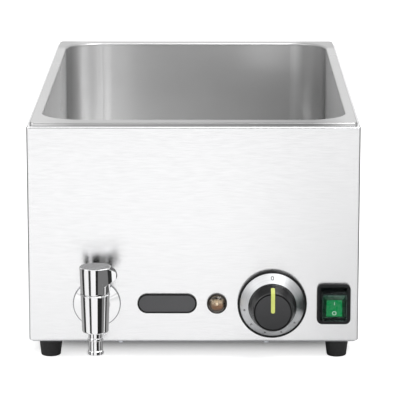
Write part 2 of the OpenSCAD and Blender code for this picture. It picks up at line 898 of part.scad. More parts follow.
module tap_nozzle() {
  color("silver") at_tap() translate([0, 0, body_low]) rotate_extrude() polygon([
    [nozzle_bore_r, nozzle_thread_l],
    [nozzle_thread_r, nozzle_thread_l],
    [nozzle_thread_r, 0],
    [nozzle_collar_r, 0],
    [nozzle_collar_r, nozzle_ring_z + nozzle_slope],
    [nozzle_r, nozzle_ring_z],
    [nozzle_r, nozzle_ring_z - nozzle_ring_h],
    [nozzle_waist_r, nozzle_ring_z - nozzle_ring_h - nozzle_slope],
    [nozzle_waist_r, -nozzle_l + nozzle_lip_h + 2 * nozzle_slope],
    [nozzle_r, -nozzle_l + nozzle_lip_h + nozzle_slope],
    [nozzle_r, -nozzle_l + nozzle_slope],
    [nozzle_r - nozzle_slope, -nozzle_l],
    [nozzle_bore_r, -nozzle_l]
  ]);
}

// Drain: from the well's floor down and forward to the tap's spigot
drain_y = front_y + drain_in;
elbow_top = row_z + elbow_bend_r + elbow_stub_l;
strainer_z = floor_z + drain_flange_t - strainer_t;

module at_drain(z) {
  translate([tap_x, drain_y, z]) children();
}

module drain_fitting() {
  color("gainsboro") difference() {
    union() {
      at_drain(floor_z) cylinder(r = drain_flange_r, h = drain_flange_t);
      at_drain(elbow_top) cylinder(r = pipe_r, h = floor_z - elbow_top + past);
    }
    at_drain(elbow_top - past) cylinder(r = waterway_r, h = strainer_z - elbow_top + 2 * past);
    at_drain(strainer_z) cylinder(r = strainer_r + run_gap, h = strainer_t + past);
  }
}

// Holes of the strainer: how many lie on a circle, and that circle's radius
strainer_hole_r = 1;
strainer_rings = [[1, 0], [6, 3.4]];

module drain_strainer() {
  color("silver") difference() {
    at_drain(strainer_z) cylinder(r = strainer_r, h = strainer_t);
    at_drain(floor_z) for (k = strainer_rings, i = [0:k[0] - 1])
      rotate(360 * i / k[0]) translate([k[1], 0, 0]) cylinder(r = strainer_hole_r, h = 2 * drain_flange_t);
  }
}

module drain_gasket() {
  color("black") at_drain(under_z - gasket_t) ring(drain_nut_af / 2 + past, pipe_r + screw_gap, gasket_t);
}

module drain_nut() {
  color("goldenrod") at_drain(under_z - gasket_t - drain_nut_h)
    nut(drain_nut_af, drain_nut_h, pipe_r + run_gap);
}

module drain_elbow() {
  reach = drain_in - elbow_bend_r - sheet_t - spigot_l;
  color("goldenrod") at_drain(row_z) {
    translate([0, -elbow_bend_r, elbow_bend_r]) rotate([0, 90, 0]) rotate_extrude(angle = 90)
      translate([elbow_bend_r, 0]) difference() {
        circle(pipe_r);
        circle(waterway_r);
      }
    translate([0, -elbow_bend_r - reach, 0]) rotate([-90, 0, 0]) ring(pipe_r, waterway_r, reach);
    translate([0, 0, elbow_bend_r]) {
      ring(pipe_r, waterway_r, elbow_stub_l);
      ring(socket_r, pipe_r, elbow_stub_l);
      translate([0, 0, elbow_stub_l]) ring(socket_r, pipe_r + run_gap, socket_l);
    }
  }
}

union_af = 26;
union_grip = 8;
union_lip = 4;

module union_nut() {
  color("goldenrod") at_tap() inwards() translate([0, 0, spigot_end - union_grip]) difference() {
    cylinder(r = hex_r(union_af), h = union_grip + union_lip, $fn = 6);
    translate([0, 0, -past]) cylinder(r = spigot_r + run_gap, h = union_grip + past);
    cylinder(r = pipe_r + run_gap, h = union_grip + union_lip + past);
  }
}

// Heating: four runs of tube under the well's floor, held by two clamp bars over a heat shield
element_z = under_z - lie_gap - element_r;
element_y = well_y + element_shift;
element_front = element_y - element_l / 2;
element_rear = element_y + element_l / 2;
outer_run_x = 1.5 * element_pitch;
lead_y = element_front - lead_l - lead_bend_r;
lead_z = element_z - lead_bend_r - lead_drop;
clamp_top = element_z - element_r - lie_gap;
shield_top = clamp_top - clamp_t - stud_nut_h;
stud_low = shield_top - shield_t - stud_nut_h - past;

// A half-turn of the element between two runs, opening towards the front
module element_turn() {
  rotate_extrude(angle = 180) translate([element_pitch / 2, 0]) circle(element_r);
}

module element_run(x, from, to) {
  translate([x, from, element_z]) rotate([-90, 0, 0]) cylinder(r = element_r, h = to - from);
}

module heating_element() {
  color("slategray") {
    for (s = [-1, 1]) {
      element_run(s * outer_run_x, element_front - lead_l, element_rear);
      element_run(s * element_pitch / 2, element_front, element_rear);
      translate([s * element_pitch, element_rear, element_z]) element_turn();
      translate([s * outer_run_x, element_front - lead_l, element_z - lead_bend_r])
        rotate([0, 90, 0]) rotate_extrude(angle = 90, start = 180)
          translate([lead_bend_r, 0]) circle(element_r);
      translate([s * outer_run_x, lead_y, lead_z]) cylinder(r = element_r, h = lead_drop);
    }
    translate([0, element_front, element_z]) rotate(180) element_turn();
  }
}

pin_r = 1.6;
pin_l = 8;

module at_leads() {
  for (s = [-1, 1]) translate([s * outer_run_x, lead_y, lead_z]) children();
}

module element_insulators() {
  color("white") at_leads() translate([0, 0, -insulator_h]) ring(insulator_r, pin_r + run_gap, insulator_h);
}

module element_pins() {
  color("silver") at_leads() translate([0, 0, -insulator_h - pin_l])
    cylinder(r = pin_r, h = insulator_h + pin_l);
}

module at_clamps() {
  for (s = [-1, 1]) translate([0, element_y + s * clamp_span / 2, 0]) children();
}

module at_studs() {
  at_clamps() for (k = [-1:1]) translate([k * element_pitch, 0, 0]) children();
}

module clamp_bars() {
  color("silver") difference() {
    at_clamps() translate([-clamp_l / 2, -clamp_w / 2, clamp_top - clamp_t])
      cube([clamp_l, clamp_w, clamp_t]);
    at_studs() translate([0, 0, clamp_top - clamp_t - past])
      cylinder(r = stud_r + screw_gap, h = clamp_t + 2 * past);
  }
}

module clamp_studs() {
  color("gainsboro") at_studs() translate([0, 0, stud_low]) cylinder(r = stud_r, h = under_z - stud_low);
}

module clamp_nuts() {
  color("silver") at_studs() {
    translate([0, 0, shield_top]) nut(stud_nut_af, stud_nut_h, stud_r + run_gap);
    translate([0, 0, shield_top - shield_t - stud_nut_h]) nut(stud_nut_af, stud_nut_h, stud_r + run_gap);
  }
}

module heat_shield() {
  color("gainsboro") difference() {
    translate([-shield_w / 2, element_y - shield_l / 2, shield_top - shield_t])
      cube([shield_w, shield_l, shield_t]);
    at_studs() translate([0, 0, shield_top - shield_t - past])
      cylinder(r = stud_r + screw_gap, h = shield_t + 2 * past);
  }
}

// Wall of the bulb clip above and below the bulb
clip_t = 1;
bulb_z = under_z - bulb_r - clip_t;
bulb_from = element_y - bulb_l / 2;

module sensing_bulb() {
  color("peru") translate([0, bulb_from, bulb_z]) rotate([-90, 0, 0]) cylinder(r = bulb_r, h = bulb_l);
}

module bulb_clip() {
  low = bulb_z - bulb_r - clip_t;
  color("silver") difference() {
    translate([-clip_w / 2, element_y - clip_l / 2, low]) cube([clip_w, clip_l, under_z - low]);
    translate([0, element_y - clip_l, bulb_z]) rotate([-90, 0, 0])
      cylinder(r = bulb_r + run_gap, h = 2 * clip_l);
  }
}

cutout_x = -25;
cutout_y = front_y + 96;
cutout_ear = 14;
cutout_ear_w = 12;
cutout_ear_t = 1.5;
cutout_blade = [5, 0.8, 8];

module thermal_cutout() {
  color("black") translate([cutout_x, cutout_y, under_z]) {
    translate([0, 0, -cutout_h]) cylinder(r = cutout_r, h = cutout_h);
    translate([0, 0, -cutout_ear_t]) linear_extrude(cutout_ear_t) slot(2 * cutout_ear, cutout_ear_w);
    for (s = [-1, 1]) translate([s * cutout_r / 2, 0, -cutout_h])
      translate([-cutout_blade[0] / 2, -cutout_blade[1] / 2, -cutout_blade[2]]) cube(cutout_blade);
  }
}

// A tube of eight sides along a smooth curve through the given points
tube_sides = 8;
tube_steps = 5;
first_side = [0.31, 0.23, 0.92];

function unit(v) = v / norm(v);

function curve_point(p0, p1, p2, p3, t) = (
  2 * p1
  + (p2 - p0) * t
  + (2 * p0 - 5 * p1 + 4 * p2 - p3) * t * t
  + (3 * p1 - p0 - 3 * p2 + p3) * t * t * t
) / 2;

function curve(p) = let (n = len(p) - 1) [
  for (i = [0:n - 1], k = [0:tube_steps - 1])
    curve_point(p[max(i - 1, 0)], p[i], p[i + 1], p[min(i + 2, n)], k / tube_steps),
  p[n]
];

function headings(c) = let (n = len(c) - 1) [for (i = [0:n]) unit(c[min(i + 1, n)] - c[max(i - 1, 0)])];

function side_from(side, heading) = unit(side - (side * heading) * heading);

function sides_along(h) = [
  for (i = 0, s = side_from(first_side, h[0]); i < len(h);
    i = i + 1, s = i < len(h) ? side_from(s, h[i]) : s) s
];

module tube(points, r) {
  c = curve(points);
  h = headings(c);
  s = sides_along(h);
  n = tube_sides;
  last = len(c) - 1;
  rim = [
    for (i = [0:last], k = [0:n - 1])
      c[i] + r * (cos(360 * k / n) * s[i] + sin(360 * k / n) * cross(h[i], s[i]))
  ];
  walls = [
    for (i = [0:last - 1], k = [0:n - 1])
      let (a = i * n + k, b = i * n + (k + 1) % n)
        each [[a, a + n, b + n], [a, b + n, b]]
  ];
  ends = [
    for (k = [1:n - 2]) each [[0, k, k + 1], [last * n, last * n + k + 1, last * n + k]]
  ];
  polyhedron(rim, concat(walls, ends));
}

// The capillary leaves the bulb, passes over a clamp bar, dips under the element and ends at the thermostat
wire_gap = 0.3;
capillary_low = (element_z - element_r + shield_top) / 2;
thermostat_back = front_y + sheet_t + thermostat_d;
capillary_route = [
  [0, bulb_from - wire_gap, bulb_z],
  [4, bulb_from - 14, bulb_z],
  [14, element_y - clamp_span / 2 + 14, bulb_z],
  [14, element_y - clamp_span / 2 - 14, bulb_z],
  [14, element_front + 24, capillary_low + 2],
  [14, element_front + 4, capillary_low],
  [16, element_front - 24, capillary_low],
  [26, element_front - 50, row_z + 8],
  [dial_x - 32.5, front_y + 66, row_z + 4],
  [dial_x, thermostat_back + 14, row_z + 4],
  [dial_x, thermostat_back + wire_gap, row_z + 4]
];

module capillary() {
  color("peru") tube(capillary_route, capillary_r);
}

// Thermostat behind the front, with its shaft through the sheet
shaft_in = 8;
shaft_short = 6;
shaft_end = knob_out - shaft_short;

module flat_shaft(r, l) {
  difference() {
    cylinder(r = r, h = l);
    translate([-r, r - shaft_flat, -past]) cube([2 * r, r, l + 2 * past]);
  }
}

module thermostat_body() {
  color("beige") on_front(dial_x) difference() {
    union() {
      translate([0, 0, -sheet_t - thermostat_d / 2])
        cube([thermostat_w, thermostat_h, thermostat_d], center = true);
      translate([0, 0, -sheet_t - past]) cylinder(r = bush_r, h = sheet_t + past + bush_l);
    }
    translate([0, 0, -sheet_t - shaft_in - past])
      cylinder(r = shaft_r + run_gap, h = sheet_t + shaft_in + bush_l + 2 * past);
    for (s = [-1, 1]) translate([s * thermostat_screw_x, 0, -sheet_t - thermostat_screw_l])
      cylinder(r = m4_r + run_gap, h = thermostat_screw_l + past);
  }
}

module thermostat_shaft() {
  color("silver") on_front(dial_x) {
    translate([0, 0, -sheet_t - shaft_in]) cylinder(r = shaft_r, h = sheet_t + shaft_in + bush_l + past);
    translate([0, 0, bush_l]) flat_shaft(shaft_r, shaft_end - bush_l);
  }
}

module thermostat_screws() {
  color("silver") on_front(dial_x) for (s = [-1, 1]) translate([s * thermostat_screw_x, 0, dial_wall]) {
    cylinder(r = m4_head_r, h = m4_head_h);
    translate([0, 0, -thermostat_screw_l]) cylinder(r = m4_r, h = thermostat_screw_l);
  }
}

// Dial base: a floor under the screws and a cone that carries the scale
dial_draft = 0.4;
dial_lip = 0.6;

module dial_base() {
  seat_z = scale_out_z - scale_t;
  top = scale_in_z - scale_t - run_gap;
  color("black") on_front(dial_x) difference() {
    rotate_extrude() polygon([
      [bush_r + screw_gap, 0],
      [dial_r, 0],
      [dial_r - dial_draft, scale_out_z / 2],
      [scale_out_r + dial_lip, scale_out_z],
      [scale_out_r + run_gap, scale_out_z],
      [scale_out_r + run_gap, seat_z - 2 * run_gap],
      [scale_in_r, top],
      [scale_in_r, top - dial_wall],
      [scale_out_r - dial_wall, seat_z - dial_wall],
      [scale_out_r - dial_wall, dial_wall],
      [bush_r + screw_gap, dial_wall]
    ]);
    for (s = [-1, 1]) translate([s * thermostat_screw_x, 0, -past])
      cylinder(r = m4_r + screw_gap, h = dial_wall + 2 * past);
  }
}

module dial_scale() {
  color("silver") on_front(dial_x) rotate_extrude() polygon([
    [scale_out_r, scale_out_z - scale_t],
    [scale_out_r, scale_out_z],
    [scale_in_r, scale_in_z],
    [scale_in_r, scale_in_z - scale_t]
  ]);
}

// Knob: a hollow cone on the shaft. Its pointer lies in a groove from the side to the middle of the face.
knob_sink = 2;
knob_low = scale_in_z - knob_sink;
knob_taper_z = scale_in_z + knob_skirt_h;
knob_edge_r = 1;
hub_low = bush_l + 1;
pointer_short = 8.6;
pointer_past = 0.8;
pointer_low = knob_taper_z + pointer_short;
pointer_bevel = 0.2;

function knob_side_r(z) =
  knob_skirt_r + (knob_face_r - knob_skirt_r) * (z - knob_taper_z) / (knob_out - knob_taper_z);

module pointer_shape() {
  side_z = knob_out - knob_edge_r;
  rotate([90, 0, 90]) linear_extrude(pointer_w, center = true) polygon([
    [-pointer_past, knob_out + pointer_proud],
    [knob_face_r - pointer_bevel, knob_out + pointer_proud],
    [knob_side_r(side_z) + pointer_proud, side_z],
    [knob_side_r(pointer_low) + pointer_proud, pointer_low],
    [knob_side_r(pointer_low) - pointer_t, pointer_low],
    [knob_side_r(side_z) - knob_edge_r - pointer_t, knob_out - pointer_t],
    [-pointer_past, knob_out - pointer_t]
  ]);
}

module knob() {
  hollow_top = knob_out - knob_wall;
  color("black") on_front(dial_x) difference() {
    union() {
      rotate_extrude() polygon(concat(
        [
          [knob_skirt_r - knob_wall, knob_low],
          [knob_skirt_r, knob_low],
          [knob_skirt_r, knob_taper_z]
        ],
        arc([knob_face_r - knob_edge_r, knob_out - knob_edge_r], knob_edge_r, 10, 90),
        [
          [0, knob_out],
          [0, hollow_top],
          [knob_face_r - knob_wall, hollow_top],
          [knob_skirt_r - knob_wall, knob_taper_z]
        ]
      ));
      translate([0, 0, hub_low]) cylinder(r = hub_r, h = knob_out - knob_wall / 2 - hub_low);
    }
    translate([0, 0, hub_low - past]) flat_shaft(shaft_r + run_gap, shaft_end + run_gap - hub_low + past);
    pointer_shape();
  }
}

module knob_pointer() {
  color("yellowgreen") on_front(dial_x) pointer_shape();
}

// Switch: a body through the sheet, a frame in front of it, a splash cover and a rocker on its axle
blade_l = 8;
blade_w = 6;
blade_t = 0.8;
cover_flange_t = 1.2;
window_w = switch_w - 2 * switch_border;
window_h = switch_h - 2 * switch_border;
frame_gap = 0.15;
axle_grip = 1.8;

module switch_body() {
  color("black") on_front(switch_x) {
    difference() {
      translate([-switch_body_w / 2, -switch_body_h / 2, -switch_body_d])
        cube([switch_body_w, switch_body_h, switch_body_d + collar_out]);
      translate([-rocker_w / 2 - rocker_gap, -rocker_h / 2 - 2 * rocker_gap, -axle_out])
        cube([rocker_w + 2 * rocker_gap, rocker_h + 4 * rocker_gap, axle_out + collar_out + past]);
      translate([0, 0, axle_out]) rotate([0, 90, 0])
        cylinder(r = axle_r + run_gap, h = rocker_w + 2 * rocker_gap + 2 * axle_grip, center = true);
    }
    for (sx = [-1, 1], sy = [-1, 1])
      translate([sx * switch_body_w / 4, sy * switch_body_h / 4, -switch_body_d - blade_l])
        translate([-blade_t / 2, -blade_w / 2, 0]) cube([blade_t, blade_w, blade_l]);
  }
}

module rocker_axle() {
  color("silver") on_front(switch_x) translate([0, 0, axle_out]) rotate([0, 90, 0])
    cylinder(r = axle_r, h = rocker_w + 2 * rocker_gap + 2 * axle_grip, center = true);
}

// Rocker: two faces that fall towards the middle, at rest with its lower half pressed
rocker_back = 1.5;

module rocker() {
  rise = rocker_h / 2 * tan(rocker_tilt);
  face = rocker_out - axle_out;
  back = -axle_r - rocker_back;
  color("green") on_front(switch_x) translate([0, 0, axle_out]) rotate([rocker_tilt, 0, 0]) difference() {
    rotate([90, 0, 90]) linear_extrude(rocker_w, center = true) polygon([
      [-rocker_h / 2, face + rise],
      [-rocker_h / 2, 0],
      [-rocker_h / 4, back],
      [rocker_h / 4, back],
      [rocker_h / 2, 0],
      [rocker_h / 2, face + rise],
      [0, face]
    ]);
    rotate([0, 90, 0]) cylinder(r = axle_r + run_gap, h = 2 * rocker_w, center = true);
  }
}

module switch_frame() {
  color("black") on_front(switch_x) difference() {
    linear_extrude(switch_frame_t) difference() {
      rounded_rect(switch_w, switch_h, switch_corner_r);
      rounded_rect(window_w, window_h, switch_corner_r - switch_border);
    }
    translate([0, 0, -past]) linear_extrude(cover_flange_t + frame_gap + past)
      square([window_w + switch_border, window_h + switch_border], center = true);
  }
}

// Outline of the splash cover, drawn in by the given wall
cover_edge = 0.4;

module cover_shell(wall, from) {
  low_w = window_w - 2 * frame_gap - 2 * wall;
  low_h = window_h - 2 * frame_gap - 2 * wall;
  round_r = 2;
  hull() {
    translate([0, 0, from]) linear_extrude(switch_frame_t - from)
      rounded_rect(low_w, low_h, round_r, $fn = 32);
    translate([0, 0, cover_out - wall - cover_edge]) linear_extrude(cover_edge)
      rounded_rect(cover_front_w - 2 * wall, cover_front_h - 2 * wall, round_r, $fn = 32);
  }
}

module switch_cover() {
  flange_more = switch_border - 2 * frame_gap;
  color("lightgray", 0.4) on_front(switch_x) difference() {
    union() {
      cover_shell(0, 0);
      linear_extrude(cover_flange_t)
        square([window_w + flange_more, window_h + flange_more], center = true);
    }
    cover_shell(cover_t, -past);
  }
}

// Pilot lamp: a bezel on a threaded barrel, with a domed lens
lens_gap = 0.1;

module lamp_body() {
  edge_r = 1;
  color("black") on_front(lamp_x) difference() {
    union() {
      rotate_extrude() polygon(concat(
        [[0, 0], [lamp_r, 0]],
        arc([lamp_r - edge_r, lamp_bezel_t - edge_r], edge_r, 0, 90),
        [[0, lamp_bezel_t]]
      ));
      translate([0, 0, -barrel_l]) cylinder(r = barrel_r, h = barrel_l + past);
    }
    translate([0, 0, lamp_bezel_t - lens_seat]) cylinder(r = lens_r + lens_gap, h = lens_seat + past);
  }
}

module lamp_lens() {
  low = lamp_bezel_t - lens_seat;
  rise = lens_out - lamp_bezel_t;
  dome_r = (lens_r * lens_r + rise * rise) / (2 * rise);
  color("orange", 0.7) on_front(lamp_x) rotate_extrude() polygon(concat(
    [[0, low], [lens_r, low]],
    arc([0, lens_out - dome_r], dome_r, asin((dome_r - rise) / dome_r), 90, 10)
  ));
}

module lamp_nut() {
  color("silver") on_front(lamp_x) translate([0, 0, -sheet_t - lamp_nut_h])
    nut(lamp_nut_af, lamp_nut_h, barrel_r + run_gap);
}

module badge_plate() {
  color("dimgray") on_front(badge_x) linear_extrude(badge_t) slot(badge_l, badge_h);
}

// Mains entry: a cable gland in the rear wall and a terminal block on the base plate
gland_nut_h = 5;
dome_in = 0.5;
block_x = gland_x;
block_y = rear_y - block_in;

module at_gland() {
  translate([gland_x, rear_y, base_z + gland_h]) rotate([-90, 0, 0]) children();
}

module cable_gland() {
  dome_edge = 3;
  dome_r = gland_af / 2 - dome_in;
  // The cable is gripped by the dome's narrow bore; behind it the bore is a step wider
  seal_from = gland_hex_t - 1;
  seal_step = 1;
  color("black") at_gland() difference() {
    union() {
      translate([0, 0, -gland_in_l]) cylinder(r = gland_r, h = gland_in_l + past);
      cylinder(r = hex_r(gland_af), h = gland_hex_t, $fn = 6);
      rotate_extrude() polygon(concat(
        [[0, gland_hex_t - past], [dome_r, gland_hex_t - past]],
        arc([dome_r - dome_edge, gland_reach - dome_edge], dome_edge, 0, 90),
        [[0, gland_reach]]
      ));
    }
    translate([0, 0, seal_from - past]) cylinder(r = gland_bore_r, h = gland_reach - seal_from + 2 * past);
    translate([0, 0, -gland_in_l - past])
      cylinder(r = gland_bore_r + seal_step, h = gland_in_l + seal_from + past);
  }
}

module gland_nut() {
  color("black") at_gland() translate([0, 0, -sheet_t - gland_nut_h])
    nut(gland_af, gland_nut_h, gland_r + run_gap);
}

ways = 3;
way_step = block_l / ways;
way_r = 2.2;

module terminal_block() {
  color("white") difference() {
    translate([block_x - block_l / 2, block_y - block_w / 2, base_z]) cube([block_l, block_w, block_h]);
    for (i = [0:ways - 1])
      translate([block_x + (i - (ways - 1) / 2) * way_step, block_y, base_z + block_h / 2])
        cylinder(r = way_r, h = block_h);
  }
}

// Wires: hand-chosen routes between the terminals, low over the base plate
wire_up = 10;
wire_wall = 17;
wall_run = casing_w / 2 - wire_wall;
wire_z = base_z + wire_up;
block_front = block_y - block_w / 2 - wire_gap;
switch_back = front_y + switch_body_d + blade_l + wire_gap;
dial_back = thermostat_back + wire_gap;
pin_low = lead_z - insulator_h - pin_l - wire_gap;
lamp_back = front_y + barrel_l + wire_gap;
cutout_low = under_z - cutout_h - cutout_blade[2] - wire_gap;

wire_routes = [
  [
    [block_x + way_step, block_front, wire_z],
    [block_x + way_step, block_front - 30, wire_z],
    [wall_run - 2, mid_y + 60, wire_z],
    [wall_run, mid_y - 100, wire_z],
    [switch_x, switch_back + 24, row_z - 8],
    [switch_x, switch_back + 6, row_z],
    [switch_x, switch_back, row_z]
  ],
  [
    [block_x, block_front, wire_z],
    [block_x, block_front - 30, wire_z],
    [wall_run - 14, mid_y + 40, wire_z],
    [wall_run - 16, mid_y - 110, wire_z],
    [(dial_x + switch_x) / 2, dial_back + 40, row_z - 20],
    [dial_x + 8, dial_back + 14, row_z - 10],
    [dial_x + 8, dial_back, row_z - 10]
  ],
  [
    [dial_x - 10, dial_back, row_z - 8],
    [dial_x - 10, dial_back + 16, row_z - 8],
    [outer_run_x - 4, lead_y - 30, wire_z + 2],
    [outer_run_x, lead_y, pin_low - 8],
    [outer_run_x, lead_y, pin_low]
  ],
  [
    [block_x - way_step, block_front, wire_z],
    [block_x - way_step, block_front - 30, wire_z],
    [70 * across, mid_y + 60, wire_z],
    [10 * across, mid_y - 60, wire_z],
    [-70 * across, lead_y + 20, wire_z],
    [-outer_run_x, lead_y, pin_low - 8],
    [-outer_run_x, lead_y, pin_low]
  ],
  [
    [lamp_x, lamp_back, row_z],
    [lamp_x, lamp_back + 14, row_z],
    [lamp_x - 14, front_y + 70, row_z - 16],
    [cutout_x + cutout_r / 2, cutout_y, cutout_low - 10],
    [cutout_x + cutout_r / 2, cutout_y, cutout_low]
  ]
];

module wires() {
  color("firebrick") for (route = wire_routes) tube(route, wire_r);
}

casing();
well();
rim_seal();
base_plate();
base_screws();
at_foot(-1, -1) foot();  // foot_front_left
at_foot(1, -1) foot();  // foot_front_right
at_foot(-1, 1) foot();  // foot_rear_left
at_foot(1, 1) foot();  // foot_rear_right
foot_screws();
foot_nuts();
tap_body();
tap_rosette();
tap_lock_nut();
tap_handle();
tap_stem();
tap_ball();
tap_seat();
tap_bonnet();
stem_o_ring();
handle_set_screw();
tap_nozzle();
drain_fitting();
drain_strainer();
drain_gasket();
drain_nut();
drain_elbow();
union_nut();
heating_element();
element_insulators();
element_pins();
clamp_bars();
clamp_studs();
clamp_nuts();
heat_shield();
sensing_bulb();
capillary();
bulb_clip();
thermal_cutout();
thermostat_body();
thermostat_shaft();
thermostat_screws();
dial_base();
dial_scale();
knob();
knob_pointer();
switch_body();
switch_frame();
switch_cover();
rocker();
rocker_axle();
lamp_body();
lamp_lens();
lamp_nut();
badge_plate();
cable_gland();
gland_nut();
terminal_block();
wires();
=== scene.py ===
# %% [markdown]
# # A counter-top bain marie
# The frame brings in the exact pieces of the appliance, each in its place. This script stands it in a white
# studio, gives every piece the finish of the real thing, and models again the pieces that the eye rests on:
# the tap, the dial, the switch, the lamp, the badge and the cable gland.

import json
import math

import bpy
from mathutils import Matrix, Vector


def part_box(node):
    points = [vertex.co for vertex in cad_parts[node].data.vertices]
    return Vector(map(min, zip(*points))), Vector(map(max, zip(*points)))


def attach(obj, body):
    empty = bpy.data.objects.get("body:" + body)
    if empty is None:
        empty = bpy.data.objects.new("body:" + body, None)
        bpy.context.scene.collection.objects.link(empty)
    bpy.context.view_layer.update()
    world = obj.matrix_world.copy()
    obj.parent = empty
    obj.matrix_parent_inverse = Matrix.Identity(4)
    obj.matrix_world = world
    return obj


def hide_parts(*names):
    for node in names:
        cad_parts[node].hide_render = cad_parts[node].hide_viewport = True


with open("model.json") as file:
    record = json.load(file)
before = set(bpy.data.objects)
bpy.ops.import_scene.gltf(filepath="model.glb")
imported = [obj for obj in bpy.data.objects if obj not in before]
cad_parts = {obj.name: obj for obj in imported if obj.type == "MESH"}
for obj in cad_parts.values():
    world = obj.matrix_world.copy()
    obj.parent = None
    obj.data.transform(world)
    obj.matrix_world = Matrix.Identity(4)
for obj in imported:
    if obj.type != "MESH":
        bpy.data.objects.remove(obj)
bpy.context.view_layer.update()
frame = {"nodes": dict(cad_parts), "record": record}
MM = 0.001

# %% [markdown]
# ## Camera
# A product photo of a box is taken from far off with a long lens, so that its upright edges stay nearly
# parallel. The camera stands in front of the middle, a little to the right, and looks down by about a seventh
# of a right angle.

# %% Camera
EYE = (0.01583, -2.69354, 0.71083)
LOOKS_DOWN, TURNED_LEFT = 12.516, 0.2154
bpy.ops.object.camera_add(
    location=EYE, rotation=(math.radians(90 - LOOKS_DOWN), 0, math.radians(TURNED_LEFT))
)
camera = bpy.context.object
camera.data.sensor_width = 36
camera.data.lens = 221.93
camera.data.clip_end = 30
scene = bpy.context.scene
scene.camera = camera
scene.view_settings.view_transform = "Standard"
print("lens", round(camera.data.lens, 1), "mm, looking down", LOOKS_DOWN, "degrees")

# %% [markdown]
# ## Tools for finishes
# Colours are written as a picture shows them and turned into the linear numbers that light works with.
# One helper adds a node. `finish` is the plain recipe for a surface: colour, gloss and relief wander in
# patches whose size is given in millimetres.

# %% Tools for finishes
# Sockets of a Mix node for colours: the share of the second, the two colours, and what comes out
MIX_SHARE, MIX_FIRST, MIX_SECOND, MIX_OUT = 0, 6, 7, 2


def paint(code):
    """A colour written as sRGB hex, as linear numbers."""
    parts = [int(code[i : i + 2], 16) / 255 for i in (1, 3, 5)]
    return [p / 12.92 if p <= 0.04045 else ((p + 0.055) / 1.055) ** 2.4 for p in parts] + [1.0]


def add_node(tree, kind, inputs=None, **settings):
    """Adds a node; an input that is a socket is linked, any other is set."""
    node = tree.nodes.new(kind)
    for name, value in settings.items():
        setattr(node, name, value)
    for name, value in (inputs or {}).items():
        if isinstance(value, bpy.types.NodeSocket):
            tree.links.new(value, node.inputs[name])
        else:
            node.inputs[name].default_value = value
    return node


def finish(name, colour, rough, grain, metallic=0.0, tint=0.08, gloss=0.06, relief=0.0, sockets=None):
    """A material that varies over patches of grain mm: one size for all axes, or one for each."""
    material = bpy.data.materials.new(name)
    material.use_nodes = True
    tree = material.node_tree
    shader = tree.nodes["Principled BSDF"]
    point = add_node(tree, "ShaderNodeTexCoord")
    scale = [1 / (g * MM) for g in (grain if isinstance(grain, tuple) else (grain,) * 3)]
    size = add_node(tree, "ShaderNodeMapping", {"Vector": point.outputs["Object"], "Scale": scale})
    noise = add_node(tree, "ShaderNodeTexNoise", {"Vector": size.outputs[0], "Scale": 1.0, "Detail": 4.0})
    spread = add_node(
        tree, "ShaderNodeMapRange", {"Value": noise.outputs[0], "From Min": 0.3, "From Max": 0.7}
    )
    light = paint(colour)
    dark = [c * (1 - tint) for c in light[:3]] + [1.0]
    shade = add_node(
        tree,
        "ShaderNodeMix",
        {MIX_SHARE: spread.outputs[0], MIX_FIRST: dark, MIX_SECOND: light},
        data_type="RGBA",
    )
    matt = add_node(
        tree,
        "ShaderNodeMapRange",
        {"Value": spread.outputs[0], "To Min": rough + gloss / 2, "To Max": rough - gloss / 2},
    )
    tree.links.new(shade.outputs[MIX_OUT], shader.inputs["Base Color"])
    tree.links.new(matt.outputs[0], shader.inputs["Roughness"])
    if relief:
        bump = add_node(tree, "ShaderNodeBump", {"Height": noise.outputs[0], "Distance": relief * MM})
        tree.links.new(bump.outputs[0], shader.inputs["Normal"])
    shader.inputs["Metallic"].default_value = metallic
    for socket, value in (sockets or {}).items():
        shader.inputs[socket].default_value = value
    return material


print("middle grey #808080 is", round(paint("#808080")[0], 3), "in linear light")

# %% [markdown]
# ## Studio
# White all round: the world is white where the camera, metal or glass looks at it, and dimmer as a source of
# light, so that a colour comes out about as it is written.

# %% World
AS_LIGHT, AS_SEEN = 0.62, 1.0
scene.world = bpy.data.worlds.new("white_studio")
scene.world.use_nodes = True
sky = scene.world.node_tree
sky.nodes.clear()
path = add_node(sky, "ShaderNodeLightPath")
seen = add_node(
    sky,
    "ShaderNodeMath",
    {0: path.outputs["Is Camera Ray"], 1: path.outputs["Is Glossy Ray"]},
    operation="ADD",
)
seen = add_node(
    sky,
    "ShaderNodeMath",
    {0: seen.outputs[0], 1: path.outputs["Is Transmission Ray"]},
    operation="ADD",
    use_clamp=True,
)
lit = add_node(sky, "ShaderNodeBackground", {"Color": (1, 1, 1, 1), "Strength": AS_LIGHT})
white = add_node(sky, "ShaderNodeBackground", {"Color": (1, 1, 1, 1), "Strength": AS_SEEN})
either = add_node(sky, "ShaderNodeMixShader", {0: seen.outputs[0], 1: lit.outputs[0], 2: white.outputs[0]})
add_node(sky, "ShaderNodeOutputWorld", {"Surface": either.outputs[0]})
print("world strength", AS_LIGHT, "as light and", AS_SEEN, "as seen")
